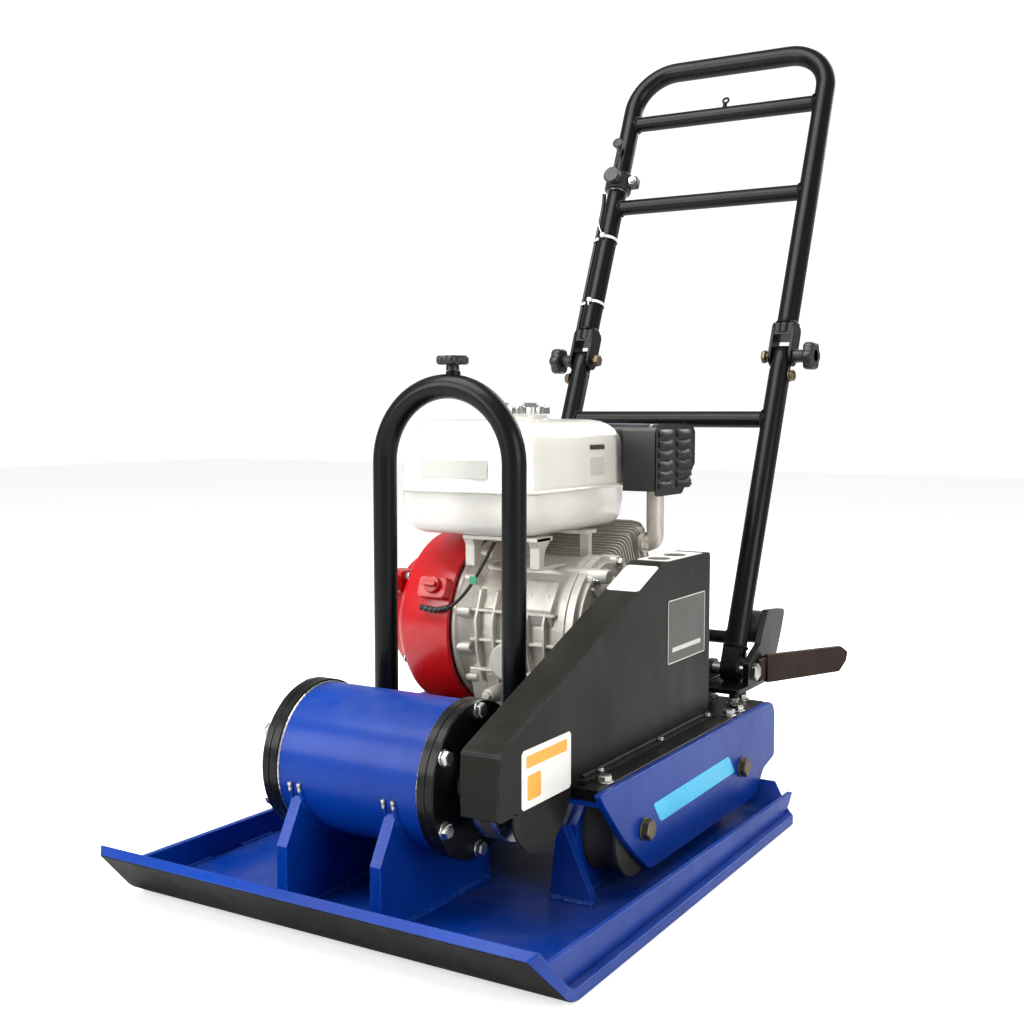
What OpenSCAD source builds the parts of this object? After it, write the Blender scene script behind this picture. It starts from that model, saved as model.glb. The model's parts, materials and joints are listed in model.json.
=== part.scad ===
// Forward plate compactor: a vibrating base plate with a belt-driven
// exciter, and an upper deck on rubber mounts that carries the engine,
// the lifting hoop and a folding guide handle.
// Origin: centre of the sole on the ground. +X is the machine's right,
// -Y its front (toe), +Z up. Millimetres.

/* [Base plate] */
// Width of the base plate
plate_w = 500; // [480:5:520]
// Thickness of the base plate
plate_t = 11; // [10:1:12]
// Front end of the flat sole
sole_front = -268; // [-272:1:-264]
// Rear end of the flat sole
sole_rear = 255; // [252:1:258]
// Outer radius of the bends that lift the two toes
toe_bend_r = 45; // [42:1:48]
// Straight length of the front toe past its bend
front_toe_len = 60; // [50:1:62]
// Straight length of the rear toe past its bend
rear_toe_len = 26; // [20:1:30]

/* [Exciter] */
// Height of the exciter axis
exciter_z = 142; // [140:1:144]
// Fore-and-aft place of the exciter axis
exciter_y = -185; // [-188:1:-182]
// Outer radius of the exciter tube
exciter_r = 72; // [71:0.5:72.5]
// Radius of the end flanges
flange_r = 75; // [74:0.5:77]

/* [Deck] */
// Height of the top face of the deck
deck_z = 131; // [130:1:132]
// Thickness of the deck plate
deck_t = 12; // [11:1:13]
// Outer half width over the side brackets
deck_half_w = 200; // [199:1:201]
// Height of the axes of the rubber mounts
mount_z = 72; // [71:1:73]

/* [Engine] */
// Height of the crankshaft axis
crank_z = 237; // [236:1:238]
// Fore-and-aft place of the crankshaft axis
crank_y = 130; // [129:1:131]
// Upward tilt of the cylinder from level
cylinder_tilt = 25; // [24:1:26]

/* [Handle] */
// Half of the spacing of the two handle tubes
handle_x = 150; // [149:1:151]
// Outer radius of the handle tube
handle_r = 14; // [13.5:0.25:14.25]
// Rearward lean of the handle from upright
handle_lean = 23.1; // [22.5:0.1:23.5]
// Distance from the foot pivot to the folding pivot
fold_at = 427; // [420:1:430]
// Distance from the folding pivot to the centre of the top bar
grip_at = 480; // [470:1:485]
// Corner radius of the handle's top bend
grip_bend_r = 62; // [58:1:66]

/* [Hidden] */
$fn = 48;

blue = [0.05, 0.17, 0.62];
black = [0.11, 0.11, 0.10];
rubber = [0.16, 0.16, 0.14];
steel = [0.72, 0.72, 0.70];
bronze = [0.36, 0.33, 0.26];
cast = [0.74, 0.72, 0.67];
red = [0.76, 0.05, 0.08];
tank_white = [0.95, 0.95, 0.92];
rust = [0.15, 0.10, 0.08];

weld = 0.2;              // overlap of welded solids inside one node
gap = 0.3;               // clearance between faces of different bodies
sheet_t = 2.5;           // belt guard sheet
tube_wall = 2.5;         // wall of the handle and hoop tubes

toe_angle = 45;
bend_steps = 6;
upstand_x = 240;         // outer face of the side upstands
upstand_t = 7;
upstand_top = 41;

exciter_x0 = -87;        // left and right ends of the exciter tube
exciter_x1 = 77;
flange_t = 9;            // welded ring and bolted cover have the same thickness
exciter_bore_r = 52;
exciter_bolt_pcr = 66;
exciter_bolt_n = 6;
shaft_r = 15;
bearing_r = 36;
bearing_w = 23;
pulley_x = 118;          // inner face of both belt pulleys
pulley_w = 24;
exciter_pulley_r = 50;
clutch_r = 58;
belt_depth = 8;
belt_w = 13;

gusset_x = [-66, 44];    // centres of the two gussets in front of the tube
gusset_t = 12;
upright_x = 143;         // inner face of the uprights that hold the mounts
upright_t = 12;
mount_y = [-42, 222];
mount_r = 48;
mount_flat = 36;          // the mounts are cut flat this far above their axis
mount_x0 = upright_x + upright_t;
bracket_t = 8;
mount_x1 = deck_half_w - bracket_t - gap;
deck_front = -126;
deck_rear = 322;
lip_w = 44;

hoop_y = -92;
notch_x = 112;           // half width of the notch that clears the exciter
notch_y = hoop_y - 12;
belt_slot = [114, 152, -10];  // slot for the belt: left, right and rear edges
hoop_x = 79;
hoop_r = 12.5;
hoop_top = 511;

guard_x0 = 125;
guard_x1 = 165;
guard_front = -260;
guard_knee_y = 77;
guard_rear = 206;
guard_top = 324;
guard_nose_top = 190;
guard_floor = deck_z;

lean = [0, sin(handle_lean), cos(handle_lean)];
foot = [0, 317, 166];
fold = foot + fold_at * lean;
foot_x0 = 170;           // inner face of the handle feet's ears
ear_t = 8;

// ------------------------------------------------------------ helpers

// Cylinder along X from x0 to x1 about (y, z)
module x_cyl(x0, x1, y, z, r) {
  translate([x0, y, z]) rotate([0, 90, 0]) cylinder(r = r, h = x1 - x0);
}

// Cylinder along Z
module z_cyl(x, y, z0, z1, r) {
  translate([x, y, z0]) cylinder(r = r, h = z1 - z0);
}

// Box from its lowest to its highest corner
module span(lo, hi) {
  translate(lo) cube(hi - lo);
}

// Plate with a (y, z) outline, from x0 to x1
module yz_plate(x0, x1, outline) {
  translate([x0, 0, 0]) rotate([90, 0, 90]) linear_extrude(x1 - x0) polygon(outline);
}

// Children on both sides of the machine
module both_sides() {
  children();
  mirror([1, 0, 0]) children();
}

// Rod or tube between two points
module rod(a, b, r) {
  d = b - a;
  n = norm(d);
  translate(a)
    rotate([0, acos(d[2] / n), atan2(d[1], d[0])])
      cylinder(r = r, h = n);
}

// Hexagonal head along X: from x0 outwards by h (h may be negative)
module x_hex(x0, h, y, z, flats) {
  translate([min(x0, x0 + h), y, z]) rotate([0, 90, 0])
    cylinder(r = flats / 2 / cos(30), h = abs(h), $fn = 6);
}

module z_hex(x, y, z0, h, flats) {
  translate([x, y, z0]) cylinder(r = flats / 2 / cos(30), h = h, $fn = 6);
}

// Box with round upright edges
module round_box(lo, hi, r) {
  size = hi - lo;
  translate([lo[0] + r, lo[1] + r, lo[2]])
    linear_extrude(size[2])
      union() {
        translate([-r, 0]) square([size[0], size[1] - 2 * r]);
        translate([0, -r]) square([size[0] - 2 * r, size[1]]);
        for (x = [0, size[0] - 2 * r])
          for (y = [0, size[1] - 2 * r])
            translate([x, y]) circle(r = r);
      }
}

// Points of an arc in a (y, z) outline
function arc(cy, cz, r, a0, a1, n) =
  [for (i = [0 : n]) let (a = a0 + (a1 - a0) * i / n) [cy + r * cos(a), cz + r * sin(a)]];

// The line that runs along the plate's section, a depth t above the sole
function toe_tip(side, t, len) =
  let (end = side < 0 ? sole_front : sole_rear)
  [end + side * ((toe_bend_r - t) * sin(toe_angle) + len * cos(toe_angle)),
   toe_bend_r - (toe_bend_r - t) * cos(toe_angle) + len * sin(toe_angle)];

function plate_line(t, front_len, rear_len) = concat(
  [toe_tip(-1, t, front_len)],
  arc(sole_front, toe_bend_r, toe_bend_r - t, 270 - toe_angle, 270, bend_steps),
  arc(sole_rear, toe_bend_r, toe_bend_r - t, 270, 270 + toe_angle, bend_steps),
  [toe_tip(1, t, rear_len)]);

function backwards(list) = [for (i = [len(list) - 1 : -1 : 0]) list[i]];

// Length along a toe, past its bend, at which the top face reaches a height
function toe_len_at(z) =
  (z - toe_bend_r + (toe_bend_r - plate_t) * cos(toe_angle)) / sin(toe_angle);

function unit(v) = v / norm(v);

// Smooth route through hand-set points, with steps points in each span
function smooth(p, steps) = let (n = len(p)) [
  for (i = [0 : n - 2]) for (k = [0 : steps - 1])
    let (t = k / steps, a = p[max(i - 1, 0)], b = p[i], c = p[i + 1], d = p[min(i + 2, n - 1)])
    0.5 * (2 * b + (c - a) * t + (2 * a - 5 * b + 4 * c - d) * t * t
      + (3 * b - a - 3 * c + d) * t * t * t),
  p[n - 1]];

// Round cable of radius r along a route, as one closed skin of eight sides
module cable(route, r) {
  sides = 8;
  n = len(route);
  up = [1, 0, 0];
  rings = [for (i = [0 : n - 1])
    let (t = unit(route[min(i + 1, n - 1)] - route[max(i - 1, 0)]),
         u = unit(cross(t, up)), v = cross(t, u))
    for (k = [0 : sides - 1]) route[i] + r * (u * cos(k * 360 / sides) + v * sin(k * 360 / sides))];
  walls = [for (i = [0 : n - 2]) for (k = [0 : sides - 1])
    let (a = i * sides + k, b = i * sides + (k + 1) % sides) [a, b, b + sides, a + sides]];
  polyhedron(rings, concat(walls,
    [[for (k = [sides - 1 : -1 : 0]) k], [for (k = [0 : sides - 1]) (n - 1) * sides + k]]));
}

// ------------------------------------------------------ base assembly

module plate_section(x0, x1) {
  yz_plate(x0, x1, concat(
    plate_line(0, front_toe_len, rear_toe_len),
    backwards(plate_line(plate_t, front_toe_len, rear_toe_len))));
}

module base_plate() {
  corner_front = 10;
  corner_rear = 42;
  front = toe_tip(-1, 0, front_toe_len)[0] - 1;
  rear = toe_tip(1, 0, rear_toe_len)[0] + 1;
  w = plate_w / 2;
  color(blue) intersection() {
    plate_section(-w, w);
    linear_extrude(100) polygon([
      [-w + corner_front, front], [w - corner_front, front], [w, front + corner_front],
      [w, rear - corner_rear], [w - corner_rear, rear],
      [-w + corner_rear, rear], [-w, rear - corner_rear], [-w, front + corner_front]]);
  }
}

module side_upstands() {
  reach = toe_len_at(upstand_top);
  color(blue) both_sides()
    yz_plate(upstand_x - upstand_t, upstand_x, plate_line(plate_t, reach, reach - 14));
}

module exciter_gussets() {
  front_z = 76;
  color(blue) difference() {
    for (x = gusset_x)
      yz_plate(x - gusset_t / 2, x + gusset_t / 2, [
        [exciter_y - 92, plate_t - 2], [exciter_y - 92, front_z],
        [exciter_y - 62, exciter_z - 12], [exciter_y + 62, exciter_z - 12],
        [exciter_y + 92, front_z], [exciter_y + 92, plate_t - 2]]);
    x_cyl(-120, 120, exciter_y, exciter_z, exciter_r);
    plate_section(-120, 120);
  }
}

module mount_uprights() {
  top = 104;
  y0 = -100;
  y1 = 280;
  color(blue) both_sides() {
    difference() {
      yz_plate(upright_x, upright_x + upright_t, [
        [y0, plate_t], [y0, 84], [y0 + 20, top], [y1 - 20, top],
        [y1, 84], [toe_tip(1, plate_t, 20)[0] - 4, 60], [sole_rear, plate_t]]);
      for (y = mount_y) x_cyl(upright_x - 1, upright_x + upright_t + 1, y, mount_z, 6.5);
    }
    // triangular flange across the front of each upright
    translate([0, y0, 0]) rotate([90, 0, 0]) linear_extrude(10)
      polygon([[130, plate_t], [180, plate_t], [146, 84], [138, 84]]);
  }
}

module rubber_mounts() {
  color(rubber) both_sides() for (y = mount_y) difference() {
    intersection() {
      x_cyl(mount_x0, mount_x1, y, mount_z, mount_r);
      span([mount_x0, y - mount_r, 0], [mount_x1, y + mount_r, mount_z + mount_flat]);
    }
    // blind holes for the bolts
    for (x = [mount_x0 - 1, mount_x1 - 12]) x_cyl(x, x + 13, y, mount_z, 6);
  }
}

module exciter_tube() {
  color(blue) difference() {
    x_cyl(exciter_x0, exciter_x1, exciter_y, exciter_z, exciter_r);
    x_cyl(exciter_x0 - 1, exciter_x1 + 1, exciter_y, exciter_z, exciter_bore_r);
    for (i = [0 : exciter_bolt_n - 1]) for (x = [exciter_x0 - 1, exciter_x1 - 14])
      x_cyl(x, x + 15, exciter_y + exciter_bolt_pcr * sin(i * 60), exciter_z + exciter_bolt_pcr * cos(i * 60), 4);
  }
}

// Both end covers: a thick flange with a bearing seat turned into it
module exciter_covers() {
  color(black) {
    exciter_cover(exciter_x1, 1, shaft_r + 3);
    exciter_cover(exciter_x0, -1, 0);
  }
}

module exciter_cover(x, side, hole_r) {
  module out(a, b, r) {
    x_cyl(min(x + side * a, x + side * b), max(x + side * a, x + side * b), exciter_y, exciter_z, r);
  }
  difference() {
    union() {
      out(0, 2 * flange_t, flange_r);
      out(-bearing_w, 0.1, exciter_bore_r - 0.05);
      out(2 * flange_t - 0.1, 2 * flange_t + 5, 30);
    }
    out(-bearing_w - 1, 1, bearing_r);
    out(0, flange_t, shaft_r + 8);
    if (hole_r > 0) out(0, 40, hole_r);
    for (i = [0 : exciter_bolt_n - 1])
      x_cyl(x - 40, x + 40, exciter_y + exciter_bolt_pcr * sin(i * 60), exciter_z + exciter_bolt_pcr * cos(i * 60), 4);
  }
}

module exciter_bolts() {
  head = 5.5;
  color(steel) for (i = [0 : exciter_bolt_n - 1]) {
    y = exciter_y + exciter_bolt_pcr * sin(i * 60);
    z = exciter_z + exciter_bolt_pcr * cos(i * 60);
    for (side = [-1, 1]) {
      face = side > 0 ? exciter_x1 + 2 * flange_t : exciter_x0 - 2 * flange_t;
      x_cyl(min(face, face + side * 1.6), max(face, face + side * 1.6), y, z, 9);
      x_hex(face + side * 1.6, side * head, y, z, 13);
      x_cyl(min(face, face - side * 30), max(face, face - side * 30), y, z, 4);
    }
  }
}

module exciter_bearings() {
  color(steel) for (x = [exciter_x0, exciter_x1 - bearing_w]) difference() {
    x_cyl(x, x + bearing_w, exciter_y, exciter_z, bearing_r);
    x_cyl(x - 1, x + bearing_w + 1, exciter_y, exciter_z, shaft_r + 0.05);
  }
}

module shaft_seal() {
  x = exciter_x1 + flange_t;
  color(rubber) difference() {
    x_cyl(x, x + 9, exciter_y, exciter_z, shaft_r + 3);
    x_cyl(x - 1, x + 10, exciter_y, exciter_z, shaft_r + 0.05);
  }
}

// Shaft with its eccentric weight forged on between the bearings
module exciter_shaft() {
  x0 = exciter_x0 + bearing_w + 6;
  x1 = exciter_x1 - bearing_w - 6;
  color(steel) {
    x_cyl(exciter_x0 - 6, pulley_x + pulley_w + 4, exciter_y, exciter_z, shaft_r);
    intersection() {
      x_cyl(x0, x1, exciter_y, exciter_z, 44);
      span([x0, exciter_y - 50, exciter_z - 50], [x1, exciter_y + 50, exciter_z - 4]);
    }
  }
}

// V-belt pulley about (y, z), outer radius r
module belt_pulley(y, z, r, bore) {
  x1 = pulley_x + pulley_w;
  mid = pulley_x + pulley_w / 2;
  difference() {
    union() {
      x_cyl(pulley_x, mid - belt_w / 2, y, z, r);
      x_cyl(mid + belt_w / 2, x1, y, z, r);
      x_cyl(pulley_x, x1, y, z, r - belt_depth - gap);
    }
    x_cyl(pulley_x - 1, x1 + 1, y, z, bore);
    for (a = [0 : 60 : 300])
      x_cyl(pulley_x - 1, x1 + 1, y + (r + bore - 8) / 2 * cos(a), z + (r + bore - 8) / 2 * sin(a), 6);
  }
}

module exciter_pulley() {
  color(steel) belt_pulley(exciter_y, exciter_z, exciter_pulley_r, shaft_r);
}

module clutch_pulley() {
  color(steel) belt_pulley(crank_y, crank_z, clutch_r, 12.7);
}

// Belt as a flat loop around both pulleys: two arcs joined by their tangents
module drive_belt() {
  mid = pulley_x + pulley_w / 2;
  dy = crank_y - exciter_y;
  dz = crank_z - exciter_z;
  tilt = atan2(dz, dy);
  span_len = norm([dy, dz]);
  function loop(r_small, r_big) =
    let (a = asin((r_big - r_small) / span_len))
    concat(arc(0, 0, r_small, 90 + a, 270 - a, 24), arc(span_len, 0, r_big, 270 - a, 450 + a, 24));
  color(rubber) translate([mid - belt_w / 2, exciter_y, exciter_z])
    rotate([90, 0, 90]) linear_extrude(belt_w) rotate(tilt) difference() {
      polygon(loop(exciter_pulley_r - 0.5, clutch_r - 0.5));
      polygon(loop(exciter_pulley_r - belt_depth, clutch_r - belt_depth));
    }
}

// ------------------------------------------------------ deck assembly

module engine_deck() {
  w = deck_half_w - bracket_t;
  color(black) difference() {
    span([-w, deck_front, deck_z - deck_t], [w, deck_rear - 6, deck_z]);
    span([-notch_x, deck_front - 1, 0], [notch_x, notch_y, deck_z + 1]);
    span([belt_slot[0], deck_front - 1, 0], [belt_slot[1], belt_slot[2], deck_z + 1]);
  }
}

module side_brackets() {
  bottom = 26;
  color(blue) both_sides() {
    difference() {
      yz_plate(deck_half_w - bracket_t, deck_half_w, concat(
        [[deck_front - 14, deck_z], [-128, 116], [-90, 76], [-60, 52]],
        arc(-14, bottom + 34, 34, 225, 270, 4),
        [[sole_rear + 17, bottom - 1], [sole_rear + 44, bottom + 26]],
        [[deck_rear + 14, 60], [deck_rear + 12, 104]],
        arc(deck_rear - 12, deck_z - 22, 22, 10, 90, 4)));
      for (y = mount_y) x_cyl(deck_half_w - 20, deck_half_w + 1, y, mount_z, 6.5);
    }
    // lip that the deck plate rests on
    span([deck_half_w - bracket_t - lip_w, deck_front, deck_z - deck_t - 6],
         [deck_half_w - bracket_t, deck_rear - 6, deck_z - deck_t]);
  }
}

module mount_bolts() {
  color(bronze) both_sides() for (y = mount_y) {
    x_cyl(deck_half_w, deck_half_w + 2, y, mount_z, 12);
    x_hex(deck_half_w + 2, 7.5, y, mount_z, 19);
    x_cyl(deck_half_w - bracket_t, deck_half_w, y, mount_z, 6);
  }
}

// Nuts that hold the rubber mounts to the uprights from inside
module mount_nuts() {
  color(steel) both_sides() for (y = mount_y) {
    x_hex(upright_x, -9, y, mount_z, 19);
    x_cyl(upright_x, upright_x + upright_t, y, mount_z, 6.4);
  }
}

deck_bolt_at = [[184, -98], [184, 222], [184, 250]];

module deck_bolts() {
  color(steel) both_sides() for (p = deck_bolt_at) {
    z_cyl(p[0], p[1], deck_z, deck_z + 2, 9);
    z_hex(p[0], p[1], deck_z + 2, 6.5, 13);
  }
  // small bolts along the foot flange of the belt guard
  color(steel) for (y = [-80, 60, 190]) z_hex(guard_x1 + 5, y, deck_z + 4, 4, 7);
}

module lifting_hoop() {
  arch_z = hoop_top - hoop_x;
  boss_r = 8;
  color(black) {
    difference() {
      for (x = [-hoop_x, hoop_x]) z_cyl(x, hoop_y, deck_z + 1, arch_z, hoop_r);
      for (x = [-hoop_x, hoop_x]) z_cyl(x, hoop_y, deck_z + 10, arch_z - 6, hoop_r - tube_wall);
    }
    for (x = [-hoop_x, hoop_x]) span([x - 24, notch_y, deck_z], [x + 24, hoop_y + 22, deck_z + 6]);
    translate([0, hoop_y, arch_z]) rotate([90, 0, 0])
      rotate_extrude(angle = 180) translate([hoop_x, 0]) circle(r = hoop_r);
    // boss for the knob
    span([-boss_r, hoop_y + 4, hoop_top - 6], [boss_r, hoop_y + 18, hoop_top + 16]);
  }
}

module hoop_knob() {
  color(black) {
    translate([0, hoop_y + 10, hoop_top + 16 + gap]) {
      cylinder(r = 7, h = 6);
      translate([0, 0, 5.8]) difference() {
        cylinder(r = 18, h = 9);
        for (a = [0 : 60 : 300]) rotate(a) translate([22, 0, -1]) cylinder(r = 6.5, h = 12);
      }
    }
  }
}

// Side outline of the belt guard, inset by d
function guard_outline(d) = concat(
  [[guard_front + d, guard_floor + d], [guard_front + d, guard_nose_top - d * 0.8],
   [guard_knee_y + d * 0.3, guard_top - d], [guard_rear - d, guard_top - d],
   [guard_rear - d, guard_floor + d]]);

module belt_guard() {
  color(black) {
    difference() {
      yz_plate(guard_x0, guard_x1, guard_outline(0));
      yz_plate(guard_x0 - 1, guard_x1 - sheet_t, guard_outline(sheet_t));
      // open below, between the nose and the deck
      span([guard_x0 - 1, guard_front + sheet_t, guard_floor - 1],
           [guard_x1 - sheet_t, belt_slot[2] + 2, guard_floor + sheet_t + 1]);
      // clearance for the crankshaft and clutch
      x_cyl(guard_x0 - 1, guard_x0 + 1, crank_y, crank_z, 20);
    }
    // the outer sheet hangs below as a round apron over the lower pulley
    difference() {
      union() {
        intersection() {
          x_cyl(guard_x1 - sheet_t, guard_x1, exciter_y, exciter_z + 2, 58);
          span([guard_x0, guard_front + 24, 60], [guard_x1, deck_front - 4, guard_floor]);
        }
        span([guard_x1 - sheet_t, guard_front + 24, guard_floor - 4],
             [guard_x1, deck_front - 4, guard_floor + weld]);
      }
    }
    // foot flange bolted to the deck
    span([guard_x1 - weld, deck_front + 8, deck_z], [guard_x1 + 9, guard_rear, deck_z + 4]);
  }
}

// -------------------------------------------------------------- engine

module crankshaft() {
  color(steel) {
    x_cyl(-128, pulley_x + pulley_w + 5, crank_y, crank_z, 12.65);
    x_cyl(-24, 34, crank_y, crank_z, 26);
  }
}

module flywheel() {
  color(cast) difference() {
    x_cyl(-118, -86, crank_y, crank_z, 86);
    x_cyl(-119, -85, crank_y, crank_z, 12.65);
    x_cyl(-120, -104, crank_y, crank_z, 60);
  }
}

// Outline of the crankcase seen along the crankshaft
function case_outline() = concat(
  [[crank_y - 62, deck_z + 10], [crank_y - 76, crank_z - 52]],
  arc(crank_y, crank_z, 84, 205, 100, 8),
  [[crank_y + 40, crank_z + 74], [crank_y + 78, crank_z + 6],
   [crank_y + 74, crank_z - 56], [crank_y + 62, deck_z + 10]]);

module crankcase() {
  color(cast) {
    difference() {
      union() {
        yz_plate(-68, 62, case_outline());
        for (y = [-58, 50]) span([-66, crank_y + y, deck_z], [62, crank_y + y + 26, deck_z + 12]);
        // bell behind the fan housing
        x_cyl(-80, -60, crank_y, crank_z, 98);
        // top boss that the tank bracket bolts to
        x_cyl(-60, 62, crank_y - 44, crank_z + 66, 8);
      }
      // hollow for the crank and the connecting rod
      x_cyl(-50, 63, crank_y, crank_z, 60);
      x_cyl(-90, -49, crank_y, crank_z, 20);
      // flat seat of the cylinder
      on_cylinder() span([-70, 64, -70], [70, 150, 70]);
    }
  }
}

// PTO side cover with its ribs, bosses and bearing hub
module crankcase_cover() {
  x0 = 62;
  x1 = 84;
  color(cast) difference() {
    union() {
      yz_plate(x0, x0 + 12, case_outline());
      x_cyl(x0, x1, crank_y, crank_z, 62);
      x_cyl(x0, 96, crank_y, crank_z, 34);
      for (a = [15 : 45 : 330])
        translate([0, crank_y, crank_z]) rotate([a, 0, 0])
          span([x0, -4, 30], [x1 - 4, 4, 78]);
      for (a = [37 : 45 : 352])
        x_cyl(x0, x0 + 18, crank_y + 72 * cos(a), crank_z + 72 * sin(a), 8);
      // feet and the top boss
      for (y = [-58, 50]) span([x0, crank_y + y, deck_z], [78, crank_y + y + 26, deck_z + 12]);
      x_cyl(x0, 96, crank_y - 44, crank_z + 66, 8);
      // filler neck low on the front
      x_cyl(x0, x0 + 20, crank_y - 62, crank_z - 62, 15);
    }
    x_cyl(x0 - 1, 97, crank_y, crank_z, 12.75);
    x_cyl(x0 + 8, x0 + 21, crank_y - 62, crank_z - 62, 9.05);
  }
}

module oil_plug() {
  x = 62 + 8;
  color([0.75, 0.72, 0.2]) {
    x_cyl(x + 0.1, x + 13, crank_y - 62, crank_z - 62, 9);
    x_cyl(x + 12.8, x + 18, crank_y - 62, crank_z - 62, 13);
    span([x + 17.8, crank_y - 72, crank_z - 64.5], [x + 24, crank_y - 52, crank_z - 59.5]);
  }
}

port_at = 140;           // inlet and exhaust ports: distance along the cylinder
port_up = 34;            // and height above its centre line

// Children placed with +Y along the tilted cylinder, from the crank axis
module on_cylinder() {
  translate([0, crank_y, crank_z]) rotate([cylinder_tilt, 0, 0]) children();
}

module cylinder_barrel() {
  color(cast) on_cylinder() difference() {
    union() {
      span([-46, 64, -46], [46, 126, 46]);
      for (i = [0 : 6]) span([-56, 74 + i * 8, -56], [56, 77 + i * 8, 54]);
    }
    rotate([-90, 0, 0]) cylinder(r = 34, h = 140);
  }
}

module cylinder_head() {
  color(cast) on_cylinder() {
    span([-52, 126, -50], [52, 148, 52]);
    for (i = [0 : 3]) span([-60, 129 + i * 7, -56], [60, 132 + i * 7, 52.5]);
    span([-46, 147, -44], [46, 158, 46]);
    // exhaust and inlet port bosses
    for (x = [-64, 20]) translate([x, port_at, port_up]) rotate([0, 90, 0]) cylinder(r = 12, h = 44);
  }
}

module rocker_cover() {
  color(cast) on_cylinder() {
    span([-44, 158, -20], [44, 182, 44]);
    span([-38, 181.8, -14], [38, 186, 38]);
  }
}

module spark_plug() {
  color(black) on_cylinder() {
    translate([20, 158, -33]) rotate([-90, 0, 0]) cylinder(r = 6, h = 12);
    translate([20, 169.9, -33]) rotate([-90, 0, 0]) cylinder(r = 9, h = 14);
  }
}

module fan_housing() {
  color(red) difference() {
    union() {
      x_cyl(-148, -80, crank_y, crank_z, 105);
      // duct that leads the air up to the cylinder
      yz_plate(-148, -80, [[crank_y - 40, crank_z + 80], [crank_y + 70, crank_z + 96],
        [crank_y + 98, crank_z + 40], [crank_y + 90, crank_z - 20]]);
      // switch box
      on_switch() span([-20, -18, -12], [19.5, 6, 14]);
    }
    x_cyl(-146, -79, crank_y, crank_z, 101);
    x_cyl(-149, -140, crank_y, crank_z, 84);
    yz_plate(-146, -79, [[crank_y - 30, crank_z + 80], [crank_y + 66, crank_z + 92],
      [crank_y + 93, crank_z + 40], [crank_y + 82, crank_z - 14]]);
  }
}

// Domed recoil starter cover with its cooling slots
module recoil_cover() {
  color(red) difference() {
    union() {
      x_cyl(-160, -148, crank_y, crank_z, 92);
      x_cyl(-184, -159.9, crank_y, crank_z, 74);
      // rope outlet
      translate([-184, crank_y - 84, crank_z + 34]) cube([24, 34, 26]);
    }
    x_cyl(-158, -147, crank_y, crank_z, 88);
    x_cyl(-181, -157, crank_y, crank_z, 70);
    for (a = [0 : 30 : 330])
      translate([0, crank_y, crank_z]) rotate([a, 0, 0]) span([-162, -5, 76.5], [-147, 5, 86]);
    translate([-178, crank_y - 90, crank_z + 40]) cube([12, 32, 14]);
  }
}

// Pull handle, seated against the rope outlet
module starter_grip() {
  y = crank_y - 84 - gap;
  color(black) {
    span([-180, y - 14, crank_z + 32], [-164, y - 4, crank_z + 62]);
    translate([-172, y - 4.1, crank_z + 47]) rotate([-90, 0, 0]) cylinder(r = 5, h = 4);
  }
}

// Children in the frame of the switch box, whose front looks forward and up
module on_switch() {
  translate([-100, crank_y - 90, crank_z + 42]) rotate([-20, 0, 0]) children();
}

module engine_switch() {
  color(red) on_switch() {
    translate([2, -18 - gap, 3]) rotate([90, 0, 0]) cylinder(r = 10, h = 5);
    span([-7, -30, 0], [11, -18.4 - gap, 6]);
  }
}

module switch_lead() {
  route = smooth([[-114, 21, 262], [-94, 21, 260], [-76, 23, 264], [-60, 27, 278],
    [-46, 31, 298], [-36, 36, 318], [-28, 44, 339]], 4);
  color(black) cable(route, 2.5);
}

tank_lo = [-140, 0, 348];
tank_hi = [45, 250, 477];
tank_seam_z = 399;

// Lower or upper half of the tank's skin, inset by d
module tank_half(d, upper) {
  r = 26;
  wide = 3 + d;
  narrow = (upper ? 19 : 11) + d;
  z_wide = upper ? [tank_seam_z - 1, tank_hi[2] - 19] : [tank_lo[2] + 11, tank_seam_z];
  z_all = upper ? [tank_seam_z - 1, tank_hi[2] - d] : [tank_lo[2] + d, tank_seam_z];
  hull() {
    round_box([tank_lo[0] + wide, tank_lo[1] + wide, z_wide[0]],
              [tank_hi[0] - wide, tank_hi[1] - wide, z_wide[1]], r, $fn = 32);
    round_box([tank_lo[0] + narrow, tank_lo[1] + narrow, z_all[0]],
              [tank_hi[0] - narrow, tank_hi[1] - narrow, z_all[1]], r, $fn = 32);
  }
}

module fuel_tank() {
  wall = 2;
  neck = cap_at();
  color(tank_white) difference() {
    union() {
      tank_half(0, false);
      tank_half(0, true);
      round_box([tank_lo[0] - 3, tank_lo[1] - 3, tank_seam_z - 3],
                [tank_hi[0] + 3, tank_hi[1] + 3, tank_seam_z + 1], 31);
      z_cyl(neck[0], neck[1], tank_hi[2] - 1, tank_hi[2] + 5, 30);
    }
    tank_half(wall, false);
    tank_half(wall, true);
    z_cyl(neck[0], neck[1], tank_hi[2] - 10, tank_hi[2] + 6, 22);
  }
}

// Centre of the filler neck
function cap_at() = [(tank_lo[0] + tank_hi[0]) / 2 + 4, (tank_lo[1] + tank_hi[1]) / 2 + 6];

module fuel_cap() {
  neck = cap_at();
  color(steel) {
    z_cyl(neck[0], neck[1], tank_hi[2] + 5 + gap, tank_hi[2] + 15, 33);
    z_cyl(neck[0], neck[1], tank_hi[2] + 14.9, tank_hi[2] + 19, 26);
  }
}

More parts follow.
